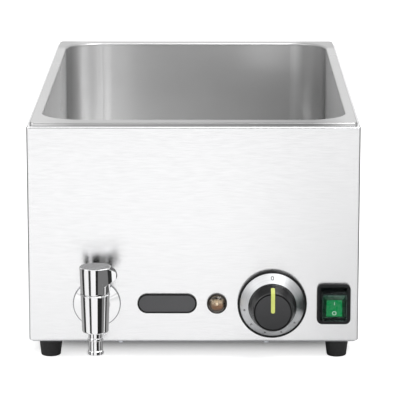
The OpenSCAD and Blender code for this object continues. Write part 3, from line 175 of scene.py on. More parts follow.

# %% [markdown]
# The floor is matt white paper. It glows a little for the camera, so that it goes white in the open, and the
# glow is painted weaker under the casing: a painted shadow that lies well inside the casing's footprint, stays
# grey there and fades before its edge.

# %% Floor
FADE = 64 * MM
IN_SHADE, IN_OPEN = 0.04, 0.72
bpy.ops.object.select_all(action="DESELECT")
bpy.ops.mesh.primitive_plane_add(size=24, location=(0, 0, -0.2 * MM))
floor = bpy.context.object
floor.name = "floor"
floor_paint = bpy.data.materials.new("white_sweep")
floor_paint.use_nodes = True
sweep = floor_paint.node_tree
sweep.nodes.clear()
path = add_node(sweep, "ShaderNodeLightPath")
point = add_node(sweep, "ShaderNodeTexCoord")
apart = add_node(sweep, "ShaderNodeSeparateXYZ", {0: point.outputs["Object"]})
casing_low, casing_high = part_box("casing")
casing_middle, casing_half = (casing_low + casing_high) / 2, (casing_high - casing_low) / 2
far = []
for i, (axis, inside) in enumerate((("X", 0.050), ("Y", 0.084))):
    off = add_node(
        sweep, "ShaderNodeMath", {0: apart.outputs[axis], 1: casing_middle[i]}, operation="SUBTRACT"
    )
    off = add_node(sweep, "ShaderNodeMath", {0: off.outputs[0]}, operation="ABSOLUTE")
    inner = casing_half[i] - inside
    off = add_node(
        sweep, "ShaderNodeMapRange", {"Value": off.outputs[0], "From Min": inner, "From Max": inner + FADE}
    )
    far.append(off.outputs[0])
# Painted shadow: the camera's glow is low well inside the casing's footprint and rises over FADE to the open
# floor
open_floor = add_node(sweep, "ShaderNodeMath", {0: far[0], 1: far[1]}, operation="MAXIMUM")
to_eye = add_node(
    sweep,
    "ShaderNodeMapRange",
    {"Value": open_floor.outputs[0], "To Min": IN_SHADE, "To Max": IN_OPEN},
    interpolation_type="SMOOTHSTEP",
)
to_eye = add_node(
    sweep, "ShaderNodeMath", {0: to_eye.outputs[0], 1: path.outputs["Is Camera Ray"]}, operation="MULTIPLY"
)
print("floor under a casing of", [round(2 * v / MM) for v in casing_half], "mm")

# %% [markdown]
# Steel shows the floor too. The glow that it sees is painted whiter far away and greyer towards the right, a
# painted reflection which gives the plain front its slow change of tone. Then both glows and the matt paper are
# added up.

# %% Floor as steel shows it
# Painted reflection for steel only: bright far off, weaker near the casing and towards the right
FAR_GLOW, NEAR_GLOW, RIGHT_LOSS = 0.22, 0.06, 0.26
ahead = apart.outputs["Y"]
depth = add_node(
    sweep,
    "ShaderNodeMapRange",
    {
        "Value": ahead,
        "From Min": casing_low.y - 1.1,
        "From Max": casing_low.y,
        "To Min": FAR_GLOW,
        "To Max": NEAR_GLOW,
    },
)
aside = add_node(
    sweep,
    "ShaderNodeMapRange",
    {"Value": apart.outputs["X"], "From Min": 0.02, "From Max": 0.22, "To Min": 0.0, "To Max": RIGHT_LOSS},
    interpolation_type="SMOOTHSTEP",
)
close = add_node(
    sweep,
    "ShaderNodeMapRange",
    {
        "Value": ahead,
        "From Min": casing_low.y - 1.05,
        "From Max": casing_low.y - 0.75,
        "To Min": 0.35,
        "To Max": 1.0,
    },
)
aside = add_node(sweep, "ShaderNodeMath", {0: aside.outputs[0], 1: close.outputs[0]}, operation="MULTIPLY")
to_steel = add_node(sweep, "ShaderNodeMath", {0: depth.outputs[0], 1: aside.outputs[0]}, operation="SUBTRACT")
to_steel = add_node(
    sweep, "ShaderNodeMath", {0: to_steel.outputs[0], 1: path.outputs["Is Glossy Ray"]}, operation="MULTIPLY"
)
glow = add_node(sweep, "ShaderNodeMath", {0: to_eye.outputs[0], 1: to_steel.outputs[0]}, operation="ADD")
glow = add_node(sweep, "ShaderNodeEmission", {"Strength": glow.outputs[0]})
paper = add_node(sweep, "ShaderNodeBsdfDiffuse", {"Color": paint("#E6E6E6")})
both = add_node(sweep, "ShaderNodeAddShader", {0: glow.outputs[0], 1: paper.outputs[0]})
add_node(sweep, "ShaderNodeOutputMaterial", {"Surface": both.outputs[0]})
floor.data.materials.append(floor_paint)
print(floor_paint.name, "has", len(sweep.nodes), "nodes")

# %% [markdown]
# Two broad soft lamps give the light its direction: the main one high at the front right, a weaker one at
# the left. Both look at the middle of the casing.

# %% Lamps
AIM = Vector((0, 0, 0.12))
for name, place, size, watts in (
    ("key", (0.9, -1.5, 2.3), 1.6, 36),
    ("fill", (-1.9, -1.2, 1.4), 1.4, 12),
):
    bpy.ops.object.light_add(type="AREA", location=place)
    lamp = bpy.context.object
    lamp.name = name
    lamp.data.size = size
    lamp.data.energy = watts
    lamp.rotation_euler = (AIM - Vector(place)).to_track_quat("-Z", "Y").to_euler()
    print(name, watts, "W")

# %% [markdown]
# Bare metal shows whatever stands round it. Photographers hang grey and black cards just out of the picture
# to draw its edges. These cards are seen by metal only: one beyond each side, and one behind the camera.


# %% Cards
def hang(sheet, tone, reach=None):
    """Makes a sheet a card that only reflections see; a reach in mm hides it from what is further off."""
    dye = bpy.data.materials.new(sheet.name)
    dye.use_nodes = True
    tree = dye.node_tree
    tree.nodes.clear()
    plain = add_node(tree, "ShaderNodeEmission", {"Color": (tone, tone, tone, 1)})
    surface = plain
    if reach:
        path = add_node(tree, "ShaderNodeLightPath")
        near = add_node(
            tree, "ShaderNodeMath", {0: path.outputs["Ray Length"], 1: reach * MM}, operation="LESS_THAN"
        )
        clear = add_node(tree, "ShaderNodeBsdfTransparent")
        surface = add_node(
            tree, "ShaderNodeMixShader", {0: near.outputs[0], 1: clear.outputs[0], 2: plain.outputs[0]}
        )
    add_node(tree, "ShaderNodeOutputMaterial", {"Surface": surface.outputs[0]})
    sheet.data.materials.clear()
    sheet.data.materials.append(dye)
    for ray in ("camera", "diffuse", "transmission", "volume_scatter", "shadow"):
        setattr(sheet, "visible_" + ray, False)


def card(name, place, turn, size, tone, reach=None):
    """A flat card of the given width and height in metres."""
    bpy.ops.object.select_all(action="DESELECT")
    bpy.ops.mesh.primitive_plane_add(size=1, location=place, rotation=turn)
    sheet = bpy.context.object
    sheet.name = name
    sheet.scale = (size[0], size[1], 1)
    bpy.ops.object.transform_apply(location=True, rotation=True, scale=True)
    hang(sheet, tone, reach)


UPRIGHT = math.radians(90)
SIDE_GREY, FRONT_GREY = 0.36, 0.12
for side in (-1, 1):
    card(f"side_card_{side}", (side * 0.46, 0.25, 0.3), (0, UPRIGHT, 0), (0.6, 1.2), SIDE_GREY)
card("front_card", (0, -3.2, 1.5), (UPRIGHT, 0, 0), (5, 1.9), FRONT_GREY)
print("cards: two at the sides of tone", SIDE_GREY, "and one in front of tone", FRONT_GREY)

# %% [markdown]
# ## Steel
# The casing and well are stainless sheet. Its brush lines are about 0.1 mm apart, too fine for a picture of
# the whole appliance, so they are drawn some twelve times coarser. Brushing smears highlights across the
# lines, which anisotropy gives; the well is satin from its pressing, duller and greyer.

# %% Steel
look = {}
# Horizontal brush lines and a soft sheen that runs upright across them
look["casing_steel"] = finish(
    "brushed_stainless",
    "#F9F9FA",
    0.24,
    (13, 13, 1.3),
    metallic=1.0,
    tint=0.035,
    relief=0.002,
    sockets={"Anisotropic": 0.55, "Anisotropic Rotation": 0.25},
)
# Drawn and satin-rolled inside: cloudy, with a broad dull reflection
look["well_steel"] = finish(
    "satin_stainless", "#FBFBFB", 0.30, 70, metallic=0.92, tint=0.05, sockets={"Anisotropic": 0.4}
)
print(", ".join(material.name for material in look.values()))

# %% [markdown]
# In the photograph the sheet isn't the same tone all over, mostly through light and reflection. In the
# photograph the sheet isn't the same tone all over, and one picture can't tell finish from light. A second
# recipe mixes another colour into a finish by place, and the tones below are painted shade and painted
# reflection, fitted to that picture.
# They could be painted on the mesh's points instead, but flat sheet has few, and a rule by place needs none.


# %% Shading by place
def recolour(material, shade, *runs):
    """Mixes a second colour into a finish where all the runs are high.

    A run is an axis or a socket, the place on it where the share is 0, the place where it is 1, and the
    middle from which it counts to both sides, if it does.
    """
    tree = material.node_tree
    colour = tree.nodes["Principled BSDF"].inputs["Base Color"]
    first = colour.links[0].from_socket
    point = add_node(tree, "ShaderNodeTexCoord")
    apart = add_node(tree, "ShaderNodeSeparateXYZ", {0: point.outputs["Object"]})
    share = None
    for axis, start, end, *centre in runs:
        value = apart.outputs[axis] if isinstance(axis, str) else axis
        if centre:
            off = add_node(tree, "ShaderNodeMath", {0: value, 1: centre[0]}, operation="SUBTRACT")
            value = add_node(tree, "ShaderNodeMath", {0: off.outputs[0]}, operation="ABSOLUTE").outputs[0]
        run = add_node(tree, "ShaderNodeMapRange", {"Value": value, "From Min": start, "From Max": end})
        if share is not None:
            run = add_node(tree, "ShaderNodeMath", {0: share, 1: run.outputs[0]}, operation="MULTIPLY")
        share = run.outputs[0]
    mixed = add_node(
        tree,
        "ShaderNodeMix",
        {MIX_SHARE: share, MIX_FIRST: first, MIX_SECOND: paint(shade)},
        data_type="RGBA",
    )
    tree.links.new(mixed.outputs[MIX_OUT], colour)


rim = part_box("well")[1].z
at_front = ("Y", casing_low.y + 40 * MM, casing_low.y + 15 * MM)
between = ("X", 0.155, 0.12, 0)
painted_shade_and_reflection = (
    # Painted shade: darker towards the right and the floor
    ("#CACACA", ("X", -0.15, 0.15), ("Z", 0.27, 0.14)),
    # Painted reflection on the flat of the rim: greyer than the inside, most at the front and towards the right
    ("#CBCBCB", ("Z", rim - 5 * MM, rim - 1 * MM)),
    ("#B2B2B2", at_front, between),
    ("#8C8C8C", at_front, between, ("X", -0.10, 0.09)),
    # Painted shade: the walls go darker the lower they are
    ("#B0B0B0", ("Z", 0.22, -0.38)),
    # Painted shade in the rear corners: the left one where it runs into the side wall, the right one all round
    # and more so towards the floor
    ("#B4B4B4", ("Y", 0.222, 0.240), ("X", -0.138, -0.151)),
    ("#8E8E8E", ("Y", 0.228, 0.240), ("X", 0.120, 0.130), ("Z", 0.36, 0.13)),
)
for shade, *runs in painted_shade_and_reflection:
    recolour(look["well_steel"], shade, *runs)
# Painted reflection at the casing's upright bends: a darker line; the two at the rear are drawn like those at
# the front
BEND_X, BEND_Y = 1.7 * MM, 4.0 * MM
recolour(
    look["casing_steel"],
    "#A6A7A9",
    ("X", casing_half.x - BEND_X, casing_half.x - BEND_X + 1 * MM, casing_middle.x),
    ("Y", casing_half.y - BEND_Y, casing_half.y - BEND_Y + 1 * MM, casing_middle.y),
)
print(len(painted_shade_and_reflection), "shades in the well, rim at", round(rim / MM, 1), "mm")

# %% [markdown]
# The other metals are plain, each with the marks of how it was made: rolling, turning, plating or annealing.

# %% Other metals
# Plain mill finish, flat and grey
look["base_steel"] = finish("mill_stainless", "#B9BABD", 0.36, (30, 4, 30), metallic=1.0, tint=0.12, gloss=0.10)
# Turned stainless with fine lathe marks
look["drain_steel"] = finish(
    "turned_stainless", "#CFD0D2", 0.22, (20, 20, 0.6), metallic=1.0, tint=0.10, gloss=0.08
)
# Bright zinc with a faint cloudy bloom
look["fastener_steel"] = finish("zinc_plate", "#C9CCD2", 0.28, 2.5, metallic=1.0, tint=0.15, gloss=0.14)
# The sheath of the element is oxidised olive-grey by its annealing
look["element_steel"] = finish(
    "annealed_sheath", "#6E7068", 0.42, (9, 3, 9), metallic=1.0, tint=0.30, gloss=0.16
)
# Mirror-bright, as a valve ball is
look["ball_steel"] = finish("polished_steel", "#E3E4E6", 0.06, 6, metallic=1.0, tint=0.03, gloss=0.03)
# Plain rolled sheet, pale and soft
look["shield_aluminium"] = finish(
    "rolled_aluminium", "#D6D7D9", 0.34, (3, 60, 3), metallic=1.0, gloss=0.12
)
# Chrome over brass: a clean mirror, with the least waviness of a polished casting
look["tap_chrome"] = finish("chrome_plate", "#FAFAFB", 0.045, 16, metallic=1.0, tint=0.02, gloss=0.02)
# Chrome for the rim of the beak: grey, a painted reflection, with a soft gloss
look["painted_reflection_chrome"] = finish("painted_reflection_chrome", "#6E6F71", 0.22, 5, metallic=1.0, tint=0.1, gloss=0.08)
# Machined brass, warm, with lathe lines
look["brass"] = finish("machined_brass", "#C9A24E", 0.26, (12, 12, 0.7), metallic=1.0, tint=0.14, gloss=0.10)
# Drawn copper, a little dulled
look["capillary_copper"] = finish("drawn_copper", "#B8734A", 0.30, 4, metallic=1.0, tint=0.22, gloss=0.14)
# Silvered plastic of the lamp's cup, warm under the amber
look["cup_silver"] = finish("silvered_cup", "#D2C8B9", 0.16, 1.5, metallic=1.0, tint=0.1, gloss=0.1)
print(len(look), "metals")

# %% [markdown]
# ## Plastics and rubber
# Moulded black parts differ by their mould: glossy for the dial and switch, sparked and matt for the lamp and
# gland. The knob has three blacks, fitted to the photograph: a satin face, a deep black side and a bright rim.

# %% Black plastics
# How much a black mirrors, where that is less or more than plain plastic's 0.5
DULL, DULLER, BRIGHT = ({"Specular IOR Level": level} for level in (0.25, 0.14, 0.7))
# Satin face of the knob: dark grey with a faint orange peel
look["knob_black"] = finish("satin_black_phenolic", "#333335", 0.36, 3, gloss=0.05, relief=0.006)
# Side of the knob: deep black that mirrors little
look["knob_side"] = finish(
    "glossy_black_phenolic", "#0C0C0D", 0.24, 3, gloss=0.05, relief=0.006, sockets=DULLER
)
# Rim of the knob, taken to be rubbed: a thin bright line
look["knob_rim"] = finish("rubbed_black_phenolic", "#1A1A1B", 0.16, 3, gloss=0.05, sockets=BRIGHT)
# Polished mould: black with a clear soft sheen
look["dial_black"] = finish("glossy_black_nylon", "#0E0E10", 0.22, 3, gloss=0.05, relief=0.006, sockets=DULL)
# The same on the switch, a little greyer
look["switch_black"] = finish(
    "glossy_black_polyamide", "#171719", 0.22, 4, tint=0.10, gloss=0.05, relief=0.006, sockets=DULL
)
# Spark-eroded mould: fine and matt, a warm black
look["lamp_black"] = finish(
    "matt_black_polyamide", "#1F1811", 0.42, 0.7, tint=0.20, gloss=0.10, relief=0.02, sockets=DULL
)
# Coarser sparking: dull and grainy
look["gland_black"] = finish("sparked_black_nylon", "#242426", 0.50, 0.8, tint=0.22, gloss=0.12, relief=0.04)
# Pressed resin: brownish black with a dry gloss
look["cutout_plastic"] = finish("black_phenolic", "#1F1E1D", 0.38, 1.5, tint=0.20, gloss=0.10, relief=0.02)
# Enamel of the badge's edge: smooth and black
look["badge_edge"] = finish("black_enamel", "#0C0C0D", 0.25, 1.5, tint=0.2, gloss=0.08, sockets=DULL)
# Scale ink: flat and nearly black
look["print_black"] = finish("black_print", "#1B1B1C", 0.5, 1.2, tint=0.2, gloss=0.1)
print(len(look), "finishes so far")

# %% [markdown]
# Rubber is dull and never quite black. The insulators inside are pale, so that a fitter can see what is what.

# %% Rubber and insulators
# Rubber with a dusty bloom
look["foot_rubber"] = finish("moulded_rubber", "#1E1E1F", 0.62, 2.2, tint=0.25, gloss=0.14, relief=0.05)
# Cut from sheet: finer and a little closer
look["black_rubber"] = finish("seal_rubber", "#1A1A1B", 0.55, 1.5, tint=0.22, gloss=0.12, relief=0.03)
# Extruded lip: even mid grey
look["seal_silicone"] = finish("grey_silicone", "#77787A", 0.55, (6, 6, 2), tint=0.14, gloss=0.10, relief=0.03)
# Waxy white, smooth
look["seat_ptfe"] = finish("white_ptfe", "#ECEBE6", 0.36, 3, tint=0.05, gloss=0.08)
# Fired and unglazed: chalky cream
look["insulator_ceramic"] = finish(
    "unglazed_ceramic", "#E4DDCF", 0.66, 1.2, tint=0.10, gloss=0.10, relief=0.04
)
# Pressed resin with pale filler: dull cream
look["thermostat_plastic"] = finish(
    "cream_phenolic", "#DCD2B4", 0.44, 1.6, tint=0.10, gloss=0.10, relief=0.02
)
# Moulded terminal block: clean dull white
look["block_white"] = finish("white_polyamide", "#E8E7E2", 0.48, 1.8, tint=0.06, gloss=0.10, relief=0.02)
# Heat-proof sleeve of the wires: brick red, soft
look["wire_insulation"] = finish("silicone_sleeve", "#A3322A", 0.50, 5, tint=0.18, gloss=0.12, relief=0.02)
print(len(look), "finishes so far")

# %% [markdown]
# The coloured parts catch the eye: the pointer, the green key under its clear cover, and the amber lamp. Clear
# plastic is see-through in the shader; the cover's index is kept low so that it doesn't bend what is behind.

# %% Coloured and clear plastics
# Printed inlay: flat, pale yellow-green
look["pointer_inlay"] = finish("yellow_green_inlay", "#D3DB74", 0.42, 2.5, tint=0.06, gloss=0.08)
# Lacquered plate, dark grey with the finest fleck
look["badge_dark"] = finish("dark_lacquer", "#4C4C4E", 0.34, 0.9, tint=0.10, gloss=0.10)
# Face of the key: translucent, lit a little from within
look["rocker_green"] = finish(
    "green_polycarbonate",
    "#04904F",
    0.28,
    5,
    tint=0.14,
    sockets={"Subsurface Weight": 0.15, "Subsurface Scale": 2 * MM},
)
# Skirt of the key, in painted shade: deep green
look["rocker_side"] = finish("deep_green_polycarbonate", "#08321F", 0.28, 5, tint=0.14, sockets=DULL)
# Ink of the key's marks: clean white
look["print_white"] = finish("white_print", "#F1F3F1", 0.45, 1.2, tint=0.05, gloss=0.1)
# Soft clear moulding: mostly see-through, faintly wavy
look["cover_clear"] = finish(
    "clear_soft_vinyl",
    "#A9CFC3",
    0.07,
    7,
    tint=0.03,
    gloss=0.05,
    sockets={"Transmission Weight": 1.0, "IOR": 1.06, "Alpha": 0.3},
)
# Its rounded edges, where the eye looks through more of it: a soft green line
look["cover_edge"] = finish(
    "thick_vinyl_edge", "#5E8F7E", 0.2, 7, tint=0.06, gloss=0.05, sockets={"Alpha": 0.3}
)
# Clear amber dome: nearly colourless, and bright
look["lens_amber"] = finish(
    "amber_polycarbonate", "#F6EFE4", 0.06, 4, gloss=0.04, sockets={"Transmission Weight": 1.0, "IOR": 1.45}
)
# Glass of the neon tube: cream with darker clouds
look["neon_glass"] = finish("neon_glass", "#FBEFDC", 0.12, 1.0, tint=0.2, gloss=0.05)
print(len(look), "finishes so far")

# %% [markdown]
# ## Spun aluminium of the scale
# The silver ring is brushed while it turns, so its lines are circles round the knob and the light gathers in
# fans across them. The distance from the knob's axis, taken in the plane of the front, drives the lines. They
# are 0.5 mm apart; the real ones are finer than a picture can hold.


# %% Spun aluminium
def from_axis(tree, x, z):
    """A socket with the distance from a line that runs straight back from the front at x and z."""
    point = add_node(tree, "ShaderNodeTexCoord")
    centred = add_node(
        tree,
        "ShaderNodeMapping",
        {"Vector": point.outputs["Object"], "Location": (-x, 0, -z), "Scale": (1, 0, 1)},
    )
    return add_node(tree, "ShaderNodeVectorMath", {0: centred.outputs[0]}, operation="LENGTH").outputs["Value"]


LINE = 0.5 * MM
dial = (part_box("dial_scale")[0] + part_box("dial_scale")[1]) / 2
spun = bpy.data.materials.new("spun_aluminium")
spun.use_nodes = True
tree = spun.node_tree
shader = tree.nodes["Principled BSDF"]
away = from_axis(tree, dial.x, dial.z)
lines = add_node(tree, "ShaderNodeMath", {0: away, 1: 1 / LINE}, operation="MULTIPLY")
noise = add_node(
    tree, "ShaderNodeTexNoise", {"W": lines.outputs[0], "Scale": 1.0, "Detail": 3.0}, noise_dimensions="1D"
)
shade = add_node(
    tree,
    "ShaderNodeMix",
    {MIX_SHARE: noise.outputs[0], MIX_FIRST: paint("#C8C9CB"), MIX_SECOND: paint("#F4F5F6")},
    data_type="RGBA",
)
matt = add_node(tree, "ShaderNodeMapRange", {"Value": noise.outputs[0], "To Min": 0.30, "To Max": 0.42})
round_about = add_node(tree, "ShaderNodeTangent", direction_type="RADIAL", axis="Y")
tree.links.new(shade.outputs[MIX_OUT], shader.inputs["Base Color"])
tree.links.new(matt.outputs[0], shader.inputs["Roughness"])
tree.links.new(round_about.outputs[0], shader.inputs["Tangent"])
shader.inputs["Metallic"].default_value = 1.0
shader.inputs["Anisotropic"].default_value = 0.7
look["scale_aluminium"] = spun

for part in frame["record"]["subparts"]:
    node = frame["nodes"][part["node"]]
    node.data.materials.clear()
    node.data.materials.append(look[part["material_slot"]])

# %% [markdown]
# ## Tools for modelling
# Round parts are drawn as half an outline and spun, the way they are turned or moulded. A corner of the
# outline with a third number is eased to that radius.


# %% Drawing and turning
def named(piece, name):
    """Names a fresh piece and its mesh."""
    piece.name = piece.data.name = name
    return piece


def drawn(name, points):
    """A new piece that is a line through points in mm, open for editing and all selected."""
    bpy.ops.object.select_all(action="DESELECT")
    bpy.ops.mesh.primitive_plane_add(size=MM)
    piece = named(bpy.context.object, name)
    bpy.ops.object.mode_set(mode="EDIT")
    bpy.ops.mesh.select_mode(type="VERT")
    bpy.ops.mesh.select_all(action="SELECT")
    bpy.ops.mesh.merge(type="CENTER")
    points = [Vector(p) * MM for p in points]
    bpy.ops.transform.translate(value=points[0])
    for at, to in zip(points, points[1:]):
        bpy.ops.mesh.extrude_vertices_move(TRANSFORM_OT_translate={"value": to - at})
    bpy.ops.mesh.select_all(action="SELECT")
    return piece


def turned(name, outline, steps=96, sweep=360):
    """Spins an outline of (radius, height) points in mm about the z axis."""
    piece = drawn(name, [(radius, 0, height) for radius, height in outline])
    bpy.ops.mesh.spin(steps=steps, angle=math.radians(sweep), center=(0, 0, 0), axis=(0, 0, 1))
    bpy.ops.mesh.select_all(action="SELECT")
    bpy.ops.mesh.remove_doubles(threshold=1e-6)
    bpy.ops.mesh.normals_make_consistent(inside=False)
    bpy.ops.object.mode_set(mode="OBJECT")
    return piece


def eased(outline, parts=5):
    """The outline with each corner that carries a third number rounded to that radius."""
    points = []
    for i, corner in enumerate(outline):
        here = Vector(corner[:2])
        if len(corner) == 2:
            points.append(here)
            continue
        back = (Vector(outline[i - 1][:2]) - here).normalized()
        on = (Vector(outline[i + 1][:2]) - here).normalized()
        cut = corner[2] / math.tan(back.angle(on) / 2)
        for k in range(parts + 1):
            t = k / parts
            points.append(here + back * cut * (1 - t) ** 2 + on * cut * t**2)
    return [tuple(p) for p in points]


corner = eased([(0, 0), (5, 0, 1), (5, 5)])
print("an eased corner has", len(corner) - 2, "points from", corner[1], "to", corner[-2])

# %% [markdown]
# Operators act on what is selected, so one helper selects by place or normal, and one adds a modifier and
# applies it.


# %% Selecting and modifying
def pick(piece, what, test):
    """Opens a piece for editing with only what passes the test selected: test(middle in mm, normal)."""
    bpy.context.view_layer.objects.active = piece
    bpy.ops.object.mode_set(mode="EDIT")
    bpy.ops.mesh.select_mode(type=what)
    bpy.ops.mesh.select_all(action="DESELECT")
    bpy.ops.object.mode_set(mode="OBJECT")
    if what == "VERT":
        for v in piece.data.vertices:
            v.select = test(v.co / MM, v.normal)
    else:
        for f in piece.data.polygons:
            f.select = test(f.center / MM, f.normal)
    bpy.ops.object.mode_set(mode="EDIT")


def modify(piece, kind, **settings):
    """Adds a modifier and applies it."""
    bpy.ops.object.mode_set(mode="OBJECT")
    bpy.ops.object.select_all(action="DESELECT")
    piece.select_set(True)
    bpy.context.view_layer.objects.active = piece
    step = piece.modifiers.new(kind.lower(), kind)
    for name, value in settings.items():
        setattr(step, name, value)
    bpy.ops.object.modifier_apply(modifier=step.name)


def push(rise):
    """Pulls the selected face out by a rise in mm."""
    bpy.ops.mesh.extrude_region_move(TRANSFORM_OT_translate={"value": (0, 0, rise * MM)})


def close_up():
    """Turns all faces of an open piece outwards."""
    bpy.ops.mesh.select_all(action="SELECT")
    bpy.ops.mesh.normals_make_consistent(inside=False)


print("pieces are selected by place, raised by push and turned right side out by close_up")

# %% [markdown]
# Parts of the front row are made lying on their backs and stood up against the front when they are done. Each
# piece then gets its finish, the body that it moves with and the CAD nodes that it stands for.


# %% Placing and finishing
def settle(piece, place, turn=(0, 0, 0), smooth=35):
    """Puts a finished piece in its place, with the place kept in its mesh, and smooths its round faces."""
    if bpy.context.object and bpy.context.object.mode != "OBJECT":
        bpy.ops.object.mode_set(mode="OBJECT")
    bpy.ops.object.select_all(action="DESELECT")
    piece.select_set(True)
    bpy.context.view_layer.objects.active = piece
    piece.location = place
    piece.rotation_euler = turn
    bpy.ops.object.transform_apply(location=True, rotation=True, scale=True)
    bpy.ops.object.shade_smooth_by_angle(angle=math.radians(smooth))


def fit(piece, body, slot, *nodes, wears=None):
    """Gives a piece its finish, its body and the CAD nodes that it stands for."""
    piece.data.materials.clear()
    piece.data.materials.append(look[wears or slot])
    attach(piece, body)
    if nodes:
        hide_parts(*nodes)
    low, high = (Vector([f(v.co[i] for v in piece.data.vertices) for i in range(3)]) for f in (min, max))
    print(piece.name, "mm", [round(s / MM, 1) for s in high - low], len(piece.data.polygons), "faces")


def touch_up(piece, names, choose):
    """Adds further finishes and gives each face the one that choose(face) counts out, 0 being the first."""
    for name in names:
        piece.data.materials.append(look[name])
    for face in piece.data.polygons:
        face.material_index = choose(face)
    worn = [face.material_index for face in piece.data.polygons]
    print(piece.name, [(look[name].name, worn.count(i + 1)) for i, name in enumerate(names)], "faces")


def middle(node):
    """Middle of a CAD node's box."""
    low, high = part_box(node)
    return (low + high) / 2


FACING = (math.radians(90), 0, 0)
front = casing_low.y
row = middle("lamp_body").z
tap = middle("tap_stem")
print("front at", round(front / MM, 2), "row at", round(row / MM, 2))
print("tap axis at", round(tap.x / MM, 2), round(tap.y / MM, 2))

# %% [markdown]
# ## Tap lever
# The tap is turned by its cap, which is drawn out at one side into a beak for the thumb. The cap is spun
# first, hollow below, with a ring of points every half millimetre up its wall.

# %% Cap of the tap
cap_low, cap_high = (corner.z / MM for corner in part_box("tap_handle"))
cap_tall = cap_high - cap_low
CAP_FOOT, CAP_HEAD = 14.9, 15.7
HOLLOW, HOLLOW_TALL = 11.5, 6
RINGS = 56
taper = CAP_HEAD - CAP_FOOT
wall = [(CAP_FOOT + taper * k / RINGS, 0.6 + (cap_tall - 1.8) * k / RINGS) for k in range(RINGS + 1)]
foot = [(0, HOLLOW_TALL), (HOLLOW, HOLLOW_TALL), (HOLLOW, 0), (CAP_FOOT - 0.5, 0)]
crown = eased([wall[-1], (CAP_HEAD + 0.04, cap_tall, 0.9), (13.6, cap_tall)])[1:]
top = [(radius, cap_tall) for radius in (11, 8, 5, 2.5, 0)]
lever = turned("tap_lever", foot + wall + crown + top, 192)
print("cap", round(cap_tall, 1), "mm tall")

# %% [markdown]
# Each point near the beak's direction is then moved outwards. Seen from above the beak's flanks run straight
# off the round wall to a small round tip; seen from the side it droops from the top edge and is cut away below
# in a long curve. Points crowd towards the beak, so that its edges stay crisp.

# %% Beak of the tap
BEAK, BEAK_TIP = 22.6, 4.0
CROWDED, HALF_WAY_ROUND = 0.6, 1.2
# Depth under the top, and how far from the axis the beak ends there
BEAK_SIDE = [
    (0, 13), (0.6, 14.6), (1.2, 15.8), (2, 17.2), (3, 18.9), (4.2, 20.4), (5.6, 21.5), (7, 22.2), (8.6, 22.5),
    (10, 22.5), (11.2, 22.2), (12.4, 21.5), (13.5, 20.5), (15, 18.4), (16.5, 15.6), (19.7, 8.7), (30, 0),
]


def beak_end(depth):
    """How far from the axis the beak ends at a depth under the top, read off the side view."""
    for (d0, x0), (d1, x1) in zip(BEAK_SIDE, BEAK_SIDE[1:]):
        if depth <= d1:
            return x0 + (x1 - x0) * (depth - d0) / (d1 - d0)


def beak_plan(angle, radius):
    """Distance from the axis to a round wall with straight flanks that run to a round tip."""
    centre = BEAK - BEAK_TIP
    leaves = math.acos((radius - BEAK_TIP) / centre)
    if angle >= leaves:
        return radius
    if angle > math.atan2(BEAK_TIP * math.sin(leaves), centre + BEAK_TIP * math.cos(leaves)):
        return radius / math.cos(leaves - angle)
    return centre * math.cos(angle) + math.sqrt(BEAK_TIP**2 - (centre * math.sin(angle)) ** 2)


for v in lever.data.vertices:
    x, y, h = v.co / MM
    away = math.hypot(x, y)
    in_hollow = away < HOLLOW + 0.5 and h < HOLLOW_TALL + 1
    if away < 0.01 or h < 0.5 or in_hollow:
        continue
    angle = math.atan2(y, x)
    angle -= CROWDED * math.sin(angle)
    full = CAP_FOOT + taper * h / cap_tall
    if abs(angle) < HALF_WAY_ROUND:
        cut = beak_end(cap_tall - h) / math.cos(angle)
        away *= max(full, min(beak_plan(abs(angle), full), cut)) / full
    v.co = Vector((away * math.cos(angle), away * math.sin(angle), h)) * MM
print("beak reaches", round(max(v.co.x for v in lever.data.vertices) / MM, 1), "mm from the axis")

# %% [markdown]
# The photograph draws the rim of the beak as a dull grey line, while its flanks stay bright. This line is a
# painted reflection: a grey chrome with a softer gloss. A rubbed finish is a guess that gives this line. The
# faces of the rim are found by where they look while the cap still stands at the origin.

# %% Rim with painted reflection and place of the lever
PAINTED_RIM_FROM, LEANS, SWUNG = 15.6 * MM, 0.25, 42
# Faces of the beak's rim, which carry the painted reflection
painted_rim = set()
for face in lever.data.polygons:
    swung = math.degrees(math.atan2(abs(face.normal.y), face.normal.x))
    if face.center.x > PAINTED_RIM_FROM and (abs(face.normal.z) > LEANS or swung < SWUNG):
        painted_rim.add(face.index)
settle(lever, (tap.x, tap.y, cap_low * MM), (0, 0, math.radians(-4)), 30)
fit(lever, "valve", "tap_chrome", "tap_handle")
touch_up(lever, ["painted_reflection_chrome"], lambda face: int(face.index in painted_rim))

# %% [markdown]
# The body meets the cap in a bright bevelled ring. The rosette behind it is a thin disc whose rolled edge shows
# as a grey line, so the chrome is mixed with grey there as a painted reflection.

# %% Bevelled ring and rosette
SEAM = [(13.6, 0.2), (14.5, 0.2, 0.1), (15.3, -0.6, 0.15), (15.3, -1.1, 0.15), (14.7, -1.7), (13.6, -1.7)]
bevelled = turned("seam_ring", eased(SEAM))
settle(bevelled, (tap.x, tap.y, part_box("tap_body")[1].z))
fit(bevelled, "unit", "tap_chrome")
rosette = look["tap_chrome"].copy()
rosette.name = "chrome_rosette"
rolled = (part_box("tap_rosette")[1].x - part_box("tap_rosette")[0].x) / 2
away = from_axis(rosette.node_tree, tap.x, row)
# Painted reflection: grey on the rolled edge
recolour(rosette, "#8B8C8F", (away, rolled - 1.3 * MM, rolled - 0.7 * MM))
frame["nodes"]["tap_rosette"].data.materials[0] = rosette
print("rosette of radius", round(rolled / MM, 1), "mm")

# %% [markdown]
# ## Hose nozzle
# The outlet under the tap is a short turned spout with two rings that hold a hose. Its edges are broken by the
# lathe and softened again by the plating.

